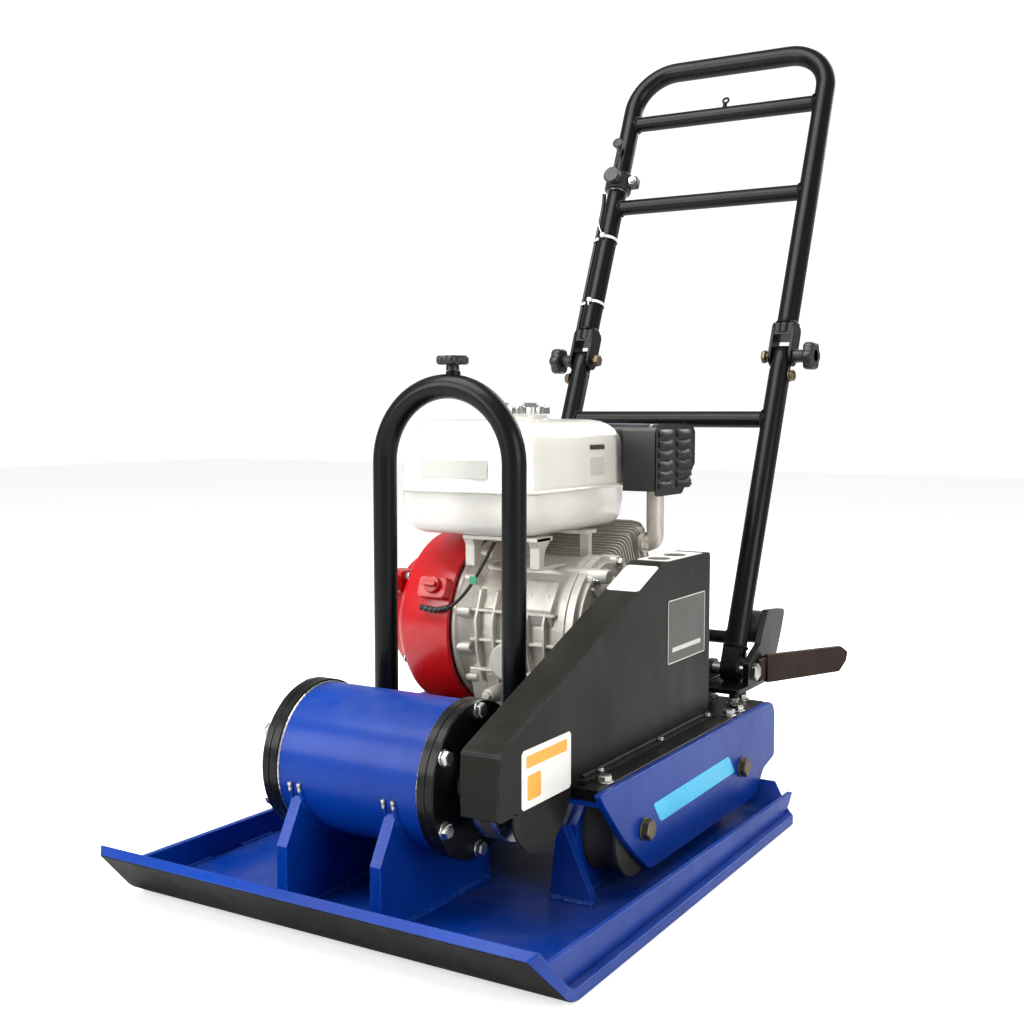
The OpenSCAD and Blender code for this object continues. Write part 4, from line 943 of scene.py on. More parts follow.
def guard():
    x0, x1 = 0.125, 0.165
    t = 0.0025
    front, rear = -0.260, 0.206
    floor, knee_y, top, nose = DECK_Z, 0.077, 0.324, 0.190
    outline = [(front, floor), (front, nose), (knee_y, top), (rear, top), (rear, floor)]
    skin = filleted(outline, [0.002, 0.007, 0.012, 0.006, 0.002], 6)
    bm = bmesh.new()
    count = len(skin)
    # closed side, folded rim and inner lip
    prism(bm, skin, x1 - t, x1, "x")
    inner = filleted([(front + t, floor + t), (front + t, nose - 0.8 * t),
                      (knee_y + 0.3 * t, top - t), (rear - t, top - t), (rear - t, floor + t)],
                     [0.001, 0.005, 0.010, 0.004, 0.001], 6)
    outer_rings = [[bm.verts.new((x, p[0], p[1])) for p in skin] for x in (x0, x1 - t)]
    inner_rings = [[bm.verts.new((x, p[0], p[1])) for p in inner] for x in (x0, x1 - t)]
    for k in range(count - 1):
        bm.faces.new((outer_rings[0][k], outer_rings[0][k + 1], outer_rings[1][k + 1],
                      outer_rings[1][k]))
        bm.faces.new((inner_rings[0][k], inner_rings[0][k + 1], inner_rings[1][k + 1],
                      inner_rings[1][k]))
        bm.faces.new((outer_rings[0][k], outer_rings[0][k + 1], inner_rings[0][k + 1],
                      inner_rings[0][k]))
    for k in (0, count - 1):
        bm.faces.new((outer_rings[0][k], inner_rings[0][k], inner_rings[1][k], outer_rings[1][k]))
    # rounded apron over the lower pulley
    apron = [(-0.231, floor + 0.001)]
    for k in range(25):
        a = radians(190 + 160 * k / 24)
        apron.append((EXCITER[0] + 0.0575 * cos(a) * 0.98, EXCITER[1] + 0.002 + 0.0575 * sin(a)))
    apron.append((-0.131, floor + 0.001))
    apron = [(max(-0.2355, min(-0.1305, y)), z) for y, z in apron]
    prism(bm, apron, x1 - t, x1, "x")
    # foot flange with its rolled bead, bolted to the deck
    block(bm, (x1 - 0.0005, -0.118, floor), (x1 + 0.009, rear, floor + 0.004))
    piece("guard_shell", bm, "Guard enamel", "deck", ("belt_guard",), 0.0007, 2)
    bm = bmesh.new()
    bead(bm, [(x1 + 0.0012, -0.110, floor + 0.0048), (x1 + 0.0012, rear - 0.004, floor + 0.0048)],
         0.0026)
    piece("guard_foot_bead", bm, "Guard enamel", "deck")
    side_films(x1)
    slope = Vector((0, knee_y - front, top - nose)).normalized()
    up = Vector((0, -slope.z, slope.y))
    knee = Vector((0, knee_y, top))
    film("knee_patch_slope", [(x0 + 0.001, *(knee - slope * 0.066).yz),
                              (x1 - 0.001, *(knee - slope * 0.066).yz),
                              (x1 - 0.001, *(knee - slope * 0.010).yz),
                              (x0 + 0.001, *(knee - slope * 0.010).yz)], up, "White film", "deck")
    film("knee_patch_top", [(x0 + 0.001, knee_y + 0.012, top), (x1 - 0.001, knee_y + 0.012, top),
                            (x1 - 0.001, 0.188, top), (x0 + 0.001, 0.188, top)], (0, 0, 1),
         "White film", "deck")
    bm = bmesh.new()
    for y in (0.108, 0.150):
        lathe(bm, [(top + 0.0004, 0), (top + 0.0004, 0.0125), (top + 0.0007, 0.0125),
                   (top + 0.0007, 0)], (0.145, y), "z", 40)
    piece("knee_roundels", bm, "Grey film", "deck")


def side_films(x):
    lo, hi = (-0.223, 0.132), (-0.132, 0.186)
    film("side_patch", [(x, lo[0], lo[1]), (x, hi[0], lo[1]), (x, hi[0], hi[1]),
                        (x, lo[0], hi[1])], (1, 0, 0), "White film", "deck")
    film("side_patch_band", [(x + 0.0004, lo[0] + 0.008, hi[1] - 0.017),
                             (x + 0.0004, hi[0] - 0.008, hi[1] - 0.017),
                             (x + 0.0004, hi[0] - 0.008, hi[1] - 0.006),
                             (x + 0.0004, lo[0] + 0.008, hi[1] - 0.006)], (1, 0, 0), "Amber film",
         "deck", 0.0002, 0.001)
    film("side_patch_block", [(x + 0.0004, lo[0] + 0.010, lo[1] + 0.007),
                              (x + 0.0004, lo[0] + 0.034, lo[1] + 0.007),
                              (x + 0.0004, lo[0] + 0.034, lo[1] + 0.030),
                              (x + 0.0004, lo[0] + 0.010, lo[1] + 0.030)], (1, 0, 0),
         "Amber film", "deck", 0.0002, 0.002)
    lo, hi = (0.088, 0.211), (0.190, 0.281)
    film("side_badge", [(x, lo[0], lo[1]), (x, hi[0], lo[1]), (x, hi[0], hi[1]),
                        (x, lo[0], hi[1])], (1, 0, 0), "Grey film", "deck")
    bm = bmesh.new()
    edge = 0.0012
    for a, b in (((lo[0], lo[1]), (hi[0], lo[1] + edge)), ((lo[0], hi[1] - edge), (hi[0], hi[1])),
                 ((lo[0], lo[1]), (lo[0] + edge, hi[1])), ((hi[0] - edge, lo[1]), (hi[0], hi[1])),
                 ((lo[0] + 0.012, lo[1] + 0.012), (hi[0] - 0.012, lo[1] + 0.017))):
        block(bm, (x + 0.0004, a[0], a[1]), (x + 0.0006, b[0], b[1]))
    piece("side_badge_frame", bm, "Pale film", "deck")


# ------------------------------------------------------------ engine

CRANK = Vector((0, 0.130, 0.237))
TILT = radians(25)
CYLINDER = Matrix.Translation(CRANK) @ Matrix.Rotation(TILT, 4, "X")


def around(y, z, r, a0, a1, steps):
    """Arc points in a (y, z) outline, angles in degrees."""
    return [(y + r * cos(radians(a0 + (a1 - a0) * k / steps)),
             z + r * sin(radians(a0 + (a1 - a0) * k / steps))) for k in range(steps + 1)]


def boss(bm, x0, x1, y, z, r, bore=0.0, steps=24):
    """Cast boss along X with a softened end and, where wanted, a spot-faced dimple."""
    side = 1 if x1 > x0 else -1
    profile = [(x0, 0), (x0, r * 1.12), (x1 - side * 0.0012, r), (x1, r * 0.93)]
    if bore:
        profile += [(x1, bore), (x1 - side * 0.003, bore), (x1 - side * 0.003, 0)]
    else:
        profile.append((x1, 0))
    lathe(bm, profile, (y, z), "x", steps)


def case_outline(grow=0.0):
    y, z = CRANK.y, CRANK.z
    return ([(y - 0.062 - grow, 0.141), (y - 0.076 - grow, z - 0.052)]
            + around(y, z, 0.084 + grow, 205, 100, 14)
            + [(y + 0.040, z + 0.074 + grow), (y + 0.078 + grow, z + 0.006),
               (y + 0.074 + grow, z - 0.056), (y + 0.062 + grow, 0.141)])


def crankcase():
    y, z = CRANK.y, CRANK.z
    bm = bmesh.new()
    prism(bm, filleted(case_outline(), 0.006, 3), -0.068, 0.058, "x")
    # split flanges that meet the side cover
    prism(bm, filleted(case_outline(0.0032), 0.006, 3), 0.052, 0.0612, "x")
    # upright ribs and pads on the front wall
    for x in (-0.052, -0.030, -0.008, 0.014, 0.036):
        prism(bm, [(y - 0.0905, z - 0.020), (y - 0.0925, z + 0.014), (y - 0.080, z + 0.046),
                   (y - 0.070, z + 0.046), (y - 0.070, z - 0.060), (y - 0.078, z - 0.060)],
              x, x + 0.0035, "x")
    for low in (-0.046, -0.012, 0.022):
        block(bm, (-0.060, y - 0.0885, z + low), (0.050, y - 0.070, z + low + 0.0035))
    # drain and filler bosses low on the front wall
    for x in (-0.030, 0.022):
        lathe(bm, [(y - 0.098, 0), (y - 0.098, 0.0075), (y - 0.0955, 0.0085),
                   (y - 0.070, 0.0100), (y - 0.070, 0)], (x, z - 0.072), "y", 20)
        hexagon(bm, y - 0.098, -0.0050, 0.010, "y", (x, z - 0.072), 0.3)
    # rounded sump window
    lathe(bm, [(y - 0.0935, 0), (y - 0.0935, 0.019), (y - 0.0915, 0.0215), (y - 0.078, 0.0235),
               (y - 0.078, 0)], (-0.010, z - 0.032), "y", 32)
    # bell behind the fan cover: stepped and ribbed
    lathe(bm, [(-0.0800, 0), (-0.0800, 0.0975), (-0.0786, 0.0985), (-0.0745, 0.0985),
               (-0.0735, 0.0945), (-0.0690, 0.0925), (-0.0640, 0.0880), (-0.0560, 0.0850),
               (-0.0560, 0)], (y, z), "x", 72)
    for k in range(10):
        a = radians(115 + 26 * k)
        cy, cz = y + 0.0905 * cos(a), z + 0.0905 * sin(a)
        boss(bm, -0.079, -0.058, cy, cz, 0.0062, 0.0026, 16)
    # feet
    for dy in (-0.058, 0.050):
        block(bm, (-0.066, y + dy, DECK_Z), (0.062, y + dy + 0.026, 0.1425))
    # tie boss across the top front
    lathe(bm, [(-0.060, 0), (-0.060, 0.0072), (-0.058, 0.0082), (0.060, 0.0082), (0.0615, 0.0074),
               (0.0615, 0)], (y - 0.044, z + 0.066), "x", 28)
    block(bm, (-0.058, y - 0.050, z + 0.030), (0.060, y - 0.038, z + 0.062))
    # governor housing on the upper front corner
    prism(bm, filleted([(y - 0.084, z + 0.010), (y - 0.0885, z + 0.030), (y - 0.070, z + 0.060),
                        (y - 0.056, z + 0.060), (y - 0.056, z + 0.010)], 0.004, 3), 0.006, 0.046,
          "x")
    piece("crankcase_casting", bm, "Cast alloy", "deck", ("crankcase",), 0.0011, 2)


def crankcase_cover():
    y, z = CRANK.y, CRANK.z
    x0 = 0.062
    bm = bmesh.new()
    prism(bm, filleted(case_outline(0.0032), 0.006, 3), x0, x0 + 0.010, "x")
    prism(bm, filleted(case_outline(-0.004), 0.006, 3), x0 + 0.009, x0 + 0.015, "x")
    lathe(bm, [(x0 + 0.006, 0), (x0 + 0.006, 0.064), (x0 + 0.016, 0.060), (x0 + 0.020, 0.054),
               (x0 + 0.022, 0.040), (x0 + 0.030, 0.034), (x0 + 0.0335, 0.0325), (0.0958, 0.026),
               (0.0958, 0)], (y, z), "x", 72)
    for k in range(12):
        a = radians(15 + 30 * k)
        c, s = cos(a), sin(a)
        wide = 0.0019
        near, far = 0.028, 0.074
        outline = [(y + near * c - wide * s, z + near * s + wide * c),
                   (y + far * c - wide * s, z + far * s + wide * c),
                   (y + far * c + wide * s, z + far * s - wide * c),
                   (y + near * c + wide * s, z + near * s - wide * c)]
        prism(bm, outline, x0 + 0.008, x0 + 0.0185, "x")
    # the cover's screws, left out where they would meet the feet
    rim = []
    for k in range(8):
        a = radians(37 + 45 * k)
        cy, cz = y + 0.077 * cos(a), z + 0.077 * sin(a)
        if cz >= 0.150:
            rim.append((k, cy, cz))
    for k, cy, cz in rim:
        boss(bm, x0 - 0.002, x0 + 0.0175, cy, cz, 0.0078)
    for dy in (-0.058, 0.050):
        block(bm, (x0, y + dy, DECK_Z), (0.078, y + dy + 0.026, 0.1425))
    boss(bm, x0 - 0.002, 0.0955, y - 0.044, z + 0.066, 0.0080)
    boss(bm, x0 + 0.004, x0 + 0.0198, y - 0.062, z - 0.062, 0.0145)
    block(bm, (x0 + 0.008, y - 0.072, z - 0.100), (x0 + 0.0135, y + 0.072, z - 0.096))
    piece("side_cover_casting", bm, "Cast alloy", "deck", ("crankcase_cover",), 0.0010, 2)
    bm = bmesh.new()
    for k, cy, cz in rim:
        bolt(bm, x0 + 0.0175, 1, (cy, cz), "x", 0.010, 0.0048, 0.0064, k)
    for x in (-0.060, 0.046):
        for dy in (-0.045, 0.063):
            bolt(bm, 0.1425, 1, (x + 0.006, y + dy), "z", 0.012, 0.006, 0.0082, x * 9)
    piece("engine_case_bolts", bm, "Zinc plate", "deck", (), 0.0003, 1)


def tilted(bm):
    bmesh.ops.transform(bm, matrix=CYLINDER, verts=bm.verts)


def fin(bm, y0, y1, half_x, z0, z1, radius=0.010):
    """One cooling fin across the cylinder, with round corners."""
    outline = filleted([(-half_x, z0), (half_x, z0), (half_x, z1), (-half_x, z1)], radius, 4)
    prism(bm, outline, y0, y1, "y")


def cylinder():
    bm = bmesh.new()
    block(bm, (-0.046, 0.064, -0.046), (0.046, 0.126, 0.046))
    for k in range(9):
        a = 0.0725 + k * 0.0061
        fin(bm, a, a + 0.0022, 0.056, -0.056, 0.054)
    for x in (-0.040, 0.040):
        for z in (-0.040, 0.040):
            lathe(bm, [(0.066, 0), (0.066, 0.0070), (0.125, 0.0070), (0.125, 0)], (x, z), "y", 16)
    tilted(bm)
    piece("barrel_casting", bm, "Cast alloy", "deck", ("cylinder_barrel",), 0.0006, 1)
    bm = bmesh.new()
    block(bm, (-0.052, 0.1262, -0.050), (0.052, 0.148, 0.052))
    for k in range(5):
        a = 0.1285 + k * 0.0056
        fin(bm, a, a + 0.0020, 0.060, -0.056, 0.056)
    block(bm, (-0.046, 0.147, -0.044), (0.046, 0.1580, 0.046))
    for x0, x1 in ((-0.064, -0.050), (0.050, 0.064)):
        lathe(bm, [(x0, 0), (x0, 0.0118), (x1, 0.0118), (x1, 0)], (0.140, 0.034), "x", 28)
        for dz in (-0.014, 0.014):
            lathe(bm, [(x0, 0), (x0, 0.0052), (x1, 0.0052), (x1, 0)],
                  (0.140 + dz * 0.2, 0.034 + dz), "x", 14)
    tilted(bm)
    piece("head_casting", bm, "Cast alloy", "deck", ("cylinder_head",), 0.0006, 1)
    bm = bmesh.new()
    rim = filleted([(-0.044, -0.020), (0.044, -0.020), (0.044, 0.044), (-0.044, 0.044)], 0.009, 5)
    prism(bm, rim, 0.1582, 0.1620, "y")
    body = filleted([(-0.040, -0.016), (0.040, -0.016), (0.040, 0.040), (-0.040, 0.040)], 0.012, 5)
    prism(bm, body, 0.1618, 0.1825, "y")
    prism(bm, filleted([(-0.030, -0.008), (0.030, -0.008), (0.030, 0.032), (-0.030, 0.032)],
                       0.010, 5), 0.1823, 0.1858, "y")
    for x in (-0.0375, 0.0375):
        for z in (-0.0135, 0.0375):
            hexagon(bm, 0.1620, 0.0050, 0.008, "y", (x, z), 0.4)
    tilted(bm)
    piece("rocker_lid", bm, "Cast alloy", "deck", ("rocker_cover",), 0.0012, 3)
    bm = bmesh.new()
    lathe(bm, [(0.1582, 0), (0.1582, 0.0055), (0.168, 0.0055), (0.168, 0.0088), (0.170, 0.0092),
               (0.1825, 0.0082), (0.1839, 0.0060), (0.1839, 0)], (0.020, -0.033), "y", 24)
    tilted(bm)
    piece("plug_cap", bm, "Black plastic", "deck", ("spark_plug",))


def fan_cover():
    y, z = CRANK.y, CRANK.z
    bm = bmesh.new()
    # pressed steel shroud: round rolled rim, flat face and the duct to the cylinder
    closed_lathe(bm, [(-0.0800, 0.1005), (-0.0800, 0.1040), (-0.0808, 0.1049), (-0.1400, 0.1049),
                      (-0.1455, 0.1030), (-0.1478, 0.0985), (-0.1480, 0.0840), (-0.1465, 0.0840),
                      (-0.1462, 0.0975), (-0.1435, 0.1012), (-0.1390, 0.1030), (-0.0800, 0.1005)],
                 (y, z), "x", 96)
    duct = filleted([(y - 0.040, z + 0.080), (y + 0.070, z + 0.096), (y + 0.098, z + 0.040),
                     (y + 0.090, z - 0.020), (y + 0.070, z - 0.020), (y + 0.070, z + 0.030),
                     (y + 0.010, z + 0.080)], 0.006, 4)
    prism(bm, duct, -0.1475, -0.0802, "x")
    piece("fan_shroud", bm, "Red enamel", "deck", ("fan_housing",), 0.0010, 2)
    bm = bmesh.new()
    # domed starter cover with its slots
    steps = 96
    rings = []
    shape = [(-0.1484, 0.0918), (-0.1545, 0.0918), (-0.1590, 0.0885), (-0.1602, 0.0850),
             (-0.1606, 0.0765), (-0.1640, 0.0741), (-0.1760, 0.0738), (-0.1815, 0.0715),
             (-0.1838, 0.0660), (-0.1840, 0.0440), (-0.1815, 0.0410), (-0.1815, 0.0200),
             (-0.1838, 0.0180)]
    for along, radius in shape:
        rings.append([bm.verts.new((along, y + radius * cos(2 * pi * k / steps),
                                    z + radius * sin(2 * pi * k / steps))) for k in range(steps)])
    for level, (a, b) in enumerate(zip(rings, rings[1:])):
        for k in range(steps):
            j = (k + 1) % steps
            slot_here = (level == 3 and k % 4 in (1, 2)) or (level == 8 and k % 6 in (1, 2))
            if not slot_here:
                bm.faces.new((a[k], a[j], b[j], b[k]))
    bm.faces.new(rings[-1])
    obj = piece("starter_cover", bm, "Red enamel", "deck", ("recoil_cover",))
    thick = obj.modifiers.new("Sheet", "SOLIDIFY")
    thick.thickness = 0.0016
    thick.offset = -1
    soften(obj, 0.0004, 1)
    bm = bmesh.new()
    # rope outlet: a rounded nose on the starter cover
    outline = filleted([(y - 0.084, z + 0.034), (y - 0.050, z + 0.034), (y - 0.050, z + 0.060),
                        (y - 0.084, z + 0.060)], [0.006, 0.001, 0.001, 0.006], 4)
    prism(bm, outline, -0.1838, -0.1602, "x")
    piece("rope_outlet", bm, "Red enamel", "deck", (), 0.0016, 3)
    bm = bmesh.new()
    for k in range(6):
        a = radians(25 + 60 * k)
        bolt(bm, -0.1480, -1, (y + 0.0965 * cos(a), z + 0.0965 * sin(a)), "x", 0.008, 0.004,
             0.0055, k)
    piece("fan_cover_screws", bm, "Zinc plate", "deck", (), 0.0003, 1)
    bm = bmesh.new()
    # starter handle with finger waist
    y1 = CRANK.y - 0.0843
    grip = filleted([(z + 0.032, -0.1795), (z + 0.062, -0.1795), (z + 0.062, -0.1645),
                     (z + 0.032, -0.1645)], 0.006, 5)
    rings = []
    for t, shrink in ((-0.0138, 0.75), (-0.0128, 0.95), (-0.0105, 1.0), (-0.0075, 1.0),
                      (-0.0050, 0.90), (-0.0042, 0.70)):
        rings.append([bm.verts.new(((b + 0.172) * shrink - 0.172, y1 + t,
                                    (a - z - 0.047) * shrink + z + 0.047)) for a, b in grip])
    bridge(bm, rings)
    lathe(bm, [(y1 - 0.0045, 0), (y1 - 0.0045, 0.0048), (y1 - 0.0002, 0.0040), (y1 - 0.0002, 0)],
          (-0.172, z + 0.047), "y", 20)
    piece("starter_pull", bm, "Black plastic", "starter_grip", ("starter_grip",), 0.0004)
    # the rope's end in the outlet
    bm = bmesh.new()
    inside, outside = Vector((-0.172, 0.0500, z + 0.047)), Vector((-0.172, 0.0415, z + 0.047))
    sweep(bm, [inside.lerp(outside, k / 8) for k in range(9)], 0.0016, 12)
    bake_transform(piece("starter_rope", bm, "White nylon", ""))


SWITCH = Matrix.Translation((-0.100, CRANK.y - 0.090, CRANK.z + 0.042)) @ Matrix.Rotation(
    radians(-20), 4, "X")


def switch():
    bm = bmesh.new()
    box = filleted([(-0.0195, -0.0115), (0.0190, -0.0115), (0.0190, 0.0135), (-0.0195, 0.0135)],
                   0.0060, 5)
    prism(bm, box, -0.0178, 0.0055, "y")
    bmesh.ops.transform(bm, matrix=SWITCH, verts=bm.verts)
    piece("switch_box", bm, "Red plastic", "deck", (), 0.0014, 3)
    bm = bmesh.new()
    lathe(bm, [(-0.0183, 0), (-0.0183, 0.0098), (-0.0220, 0.0098), (-0.0231, 0.0088),
               (-0.0231, 0)], (0.002, 0.003), "y", 32)
    grip = filleted([(-0.0068, 0.0002), (0.0108, 0.0002), (0.0108, 0.0058), (-0.0068, 0.0058)],
                    0.0026, 4)
    prism(bm, grip, -0.0298, -0.0225, "y")
    bmesh.ops.transform(bm, matrix=SWITCH, verts=bm.verts)
    piece("switch_knob", bm, "Red plastic", "engine_switch", ("engine_switch",), 0.0008, 2)
    # lead with its ribbed sleeve, and the clip tag on it
    line = [(-0.114, 0.021, 0.262), (-0.094, 0.021, 0.260), (-0.076, 0.023, 0.264),
            (-0.060, 0.027, 0.278), (-0.046, 0.031, 0.298), (-0.036, 0.036, 0.318),
            (-0.028, 0.044, 0.339)]
    bm = bmesh.new()
    sweep(bm, smooth_route(line, 10), 0.0019, 12)
    lead = piece("switch_wire", bm, "Black plastic", "deck", ("switch_lead",))
    bm = bmesh.new()
    sweep(bm, smooth_route(line[:3], 10), lambda i: 0.0036 if i % 3 else 0.0028, 14)
    sleeve = piece("switch_sleeve", bm, "Black plastic", "deck")
    bm = bmesh.new()
    prism(bm, filleted([(-0.051, 0.292), (-0.041, 0.292), (-0.041, 0.301), (-0.051, 0.301)],
                       0.002, 3), 0.0262, 0.0280, "y")
    tag = piece("lead_tag", bm, "Green tag", "deck", (), 0.0004)


def tank():
    lo = Vector((-0.140, 0.0, 0.348))
    hi = Vector((0.045, 0.250, 0.477))
    seam = 0.399
    levels = [(lo.z + 0.0006, 0.0210, 0.020), (lo.z + 0.0026, 0.0150, 0.024),
              (lo.z + 0.0070, 0.0090, 0.026), (lo.z + 0.0140, 0.0056, 0.026),
              (seam - 0.020, 0.0038, 0.026), (seam - 0.0042, 0.0030, 0.026),
              (seam - 0.0034, 0.0024, 0.026), (seam - 0.0028, -0.0018, 0.029),
              (seam - 0.0018, -0.0028, 0.030), (seam - 0.0004, -0.0028, 0.030),
              (seam + 0.0006, -0.0018, 0.029), (seam + 0.0010, 0.0024, 0.026),
              (seam + 0.0030, 0.0030, 0.026), (hi.z - 0.032, 0.0042, 0.026),
              (hi.z - 0.021, 0.0062, 0.027), (hi.z - 0.013, 0.0100, 0.028),
              (hi.z - 0.0066, 0.0162, 0.028), (hi.z - 0.0028, 0.0240, 0.026),
              (hi.z - 0.0011, 0.0340, 0.022), (hi.z - 0.0004, 0.0500, 0.014)]
    bm = bmesh.new()
    rings = []
    arc = 8
    for height, inset, radius in levels:
        ring = []
        x0, x1 = lo.x + inset, hi.x - inset
        y0, y1 = lo.y + inset, hi.y - inset
        for cx, cy, start in ((x1 - radius, y1 - radius, 0), (x0 + radius, y1 - radius, 90),
                              (x0 + radius, y0 + radius, 180), (x1 - radius, y0 + radius, 270)):
            for k in range(arc + 1):
                a = radians(start + 90 * k / arc)
                ring.append(bm.verts.new((cx + radius * cos(a), cy + radius * sin(a), height)))
        rings.append(ring)
    bridge(bm, rings)
    neck = ((lo.x + hi.x) / 2 + 0.004, (lo.y + hi.y) / 2 + 0.006)
    lathe(bm, [(hi.z - 0.002, 0), (hi.z - 0.002, 0.034), (hi.z - 0.0002, 0.0325),
               (hi.z + 0.0015, 0.0300), (hi.z + 0.0046, 0.0294), (hi.z + 0.0046, 0)], neck, "z", 64)
    piece("tank_shell", bm, "Tank enamel", "deck", ("fuel_tank",), angle=40)
    # cap
    bm = bmesh.new()
    top = hi.z
    rows = [(top + 0.0054, 0.0318), (top + 0.0062, 0.0328), (top + 0.0135, 0.0326),
            (top + 0.0150, 0.0310), (top + 0.0158, 0.0268), (top + 0.0184, 0.0250),
            (top + 0.0188, 0.0205), (top + 0.0176, 0.0180), (top + 0.0176, 0.0)]
    steps = 96
    rings = []
    for level, (height, radius) in enumerate(rows[:-1]):
        knurl = 0.0009 if level in (1, 2) else 0.0
        ring = []
        for k in range(steps):
            turn = 2 * pi * k / steps
            q = radius - knurl * (k % 4 < 2)
            ring.append(bm.verts.new((neck[0] + q * cos(turn), neck[1] + q * sin(turn), height)))
        rings.append(ring)
    bridge(bm, rings)
    piece("filler_cap", bm, "Zinc plate", "fuel_cap", ("fuel_cap",))
    # plain label patches: front face and right face, above and below the seam
    front = lo.y + 0.0024
    film("tank_patch_front", [(-0.100, front, 0.412), (-0.012, front, 0.412),
                              (-0.012, front, 0.432), (-0.100, front, 0.432)], (0, -1, 0),
         "Pale film", "deck", 0.0004, 0.001)
    side = hi.x - 0.0042
    film("tank_patch_side", [(side, 0.142, 0.411), (side, 0.178, 0.411),
                             (side - 0.001, 0.178, 0.444), (side - 0.001, 0.142, 0.444)],
         (1, 0, 0), "Pale film", "deck", 0.0010, 0.001)
    film("tank_patch_band", [(side + 0.0008, 0.142, 0.4415), (side + 0.0008, 0.178, 0.4415),
                             (side, 0.178, 0.447), (side, 0.142, 0.447)], (1, 0, 0), "Grey film",
         "deck", 0.0006, 0.0008)


def tank_legs():
    bm = bmesh.new()
    top = 0.348
    # curved front legs, broad at the tank
    for x in (-0.058, 0.026):
        leg = filleted([(0.030, 0.3115), (0.030, 0.336), (0.024, 0.3475), (0.060, 0.3475),
                        (0.044, 0.334), (0.039, 0.3155), (0.090, 0.3150), (0.090, 0.3115)],
                       [0.003, 0.006, 0.001, 0.004, 0.010, 0.004, 0.001, 0.001], 5)
        prism(bm, leg, x, x + 0.012, "x")
    prism(bm, [(0.0245, top - 0.0048), (0.0245, top - 0.0003), (0.0600, top - 0.0003),
               (0.0600, top - 0.0048)], -0.058, 0.038, "x")
    block(bm, (-0.058, 0.140, top - 0.0048), (0.038, 0.166, top - 0.0003))
    for x in (-0.058, 0.026):
        block(bm, (x, 0.146, 0.315), (x + 0.012, 0.154, top - 0.004))
    piece("tank_legs", bm, "Cast alloy", "deck", ("tank_brackets",), 0.0012, 2)


def fuel_side():
    dressed("carburettor", "Cast alloy", 0.0015, 3)
    bm = bmesh.new()
    lathe(bm, [(0.2623, 0), (0.2623, 0.0050), (0.2660, 0.0050), (0.2663, 0.0044), (0.2663, 0)],
          (-0.094, 0.330), "y", 24)
    prism(bm, filleted([(-0.098, 0.330), (-0.090, 0.330), (-0.090, 0.366), (-0.098, 0.366)],
                       0.0036, 4), 0.2624, 0.2653, "y")
    piece("choke_arm", bm, "Black plastic", "choke_lever", ("choke_lever",), 0.0006)
    bm = bmesh.new()
    lathe(bm, [(0.2623, 0), (0.2623, 0.0060), (0.2665, 0.0060), (0.2673, 0.0050), (0.2673, 0)],
          (-0.080, 0.302), "y", 24)
    prism(bm, filleted([(-0.104, 0.299), (-0.080, 0.299), (-0.080, 0.305), (-0.104, 0.305)],
                       0.0025, 4), 0.2624, 0.2660, "y")
    piece("fuel_tap_arm", bm, "Black plastic", "fuel_tap", ("fuel_tap",), 0.0006)
    # air cleaner: base tray, ribbed lid and wing nut
    lo, hi = Vector(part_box("air_cleaner")[0]), Vector(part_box("air_cleaner")[1])
    bm = bmesh.new()
    tray = 0.346

    def shelf(inset, z0, z1, radius):
        outline = filleted([(lo.x + inset, 0.276 + inset), (hi.x - inset, 0.276 + inset),
                            (hi.x - inset, 0.356 - inset), (lo.x + inset, 0.356 - inset)],
                           radius, 6)
        prism(bm, outline, z0, z1, "z")

    shelf(0.0, 0.330, tray, 0.016)
    shelf(0.004, tray - 0.0002, 0.372, 0.018)
    for k in range(5):
        shelf(0.0030, 0.374 + k * 0.011, 0.3795 + k * 0.011, 0.019)
    shelf(0.0062, 0.372, 0.436, 0.018)
    shelf(0.0120, 0.4358, 0.4378, 0.016)
    centre = ((lo.x + hi.x) / 2, 0.316)
    lathe(bm, [(0.4376, 0), (0.4376, 0.020), (0.4395, 0.018), (0.4395, 0)], centre, "z", 40)
    hexagon(bm, 0.4394, 0.0044, 0.012, "z", centre, 0.2)
    block(bm, (-0.118, 0.262, 0.312), (-0.102, 0.282, 0.3301))
    piece("air_cleaner_box", bm, "Black plastic", "deck", ("air_cleaner",), 0.0012, 2)


LOUVRE = 0.0046
LOUVRE_Y = (0.214, 0.266)


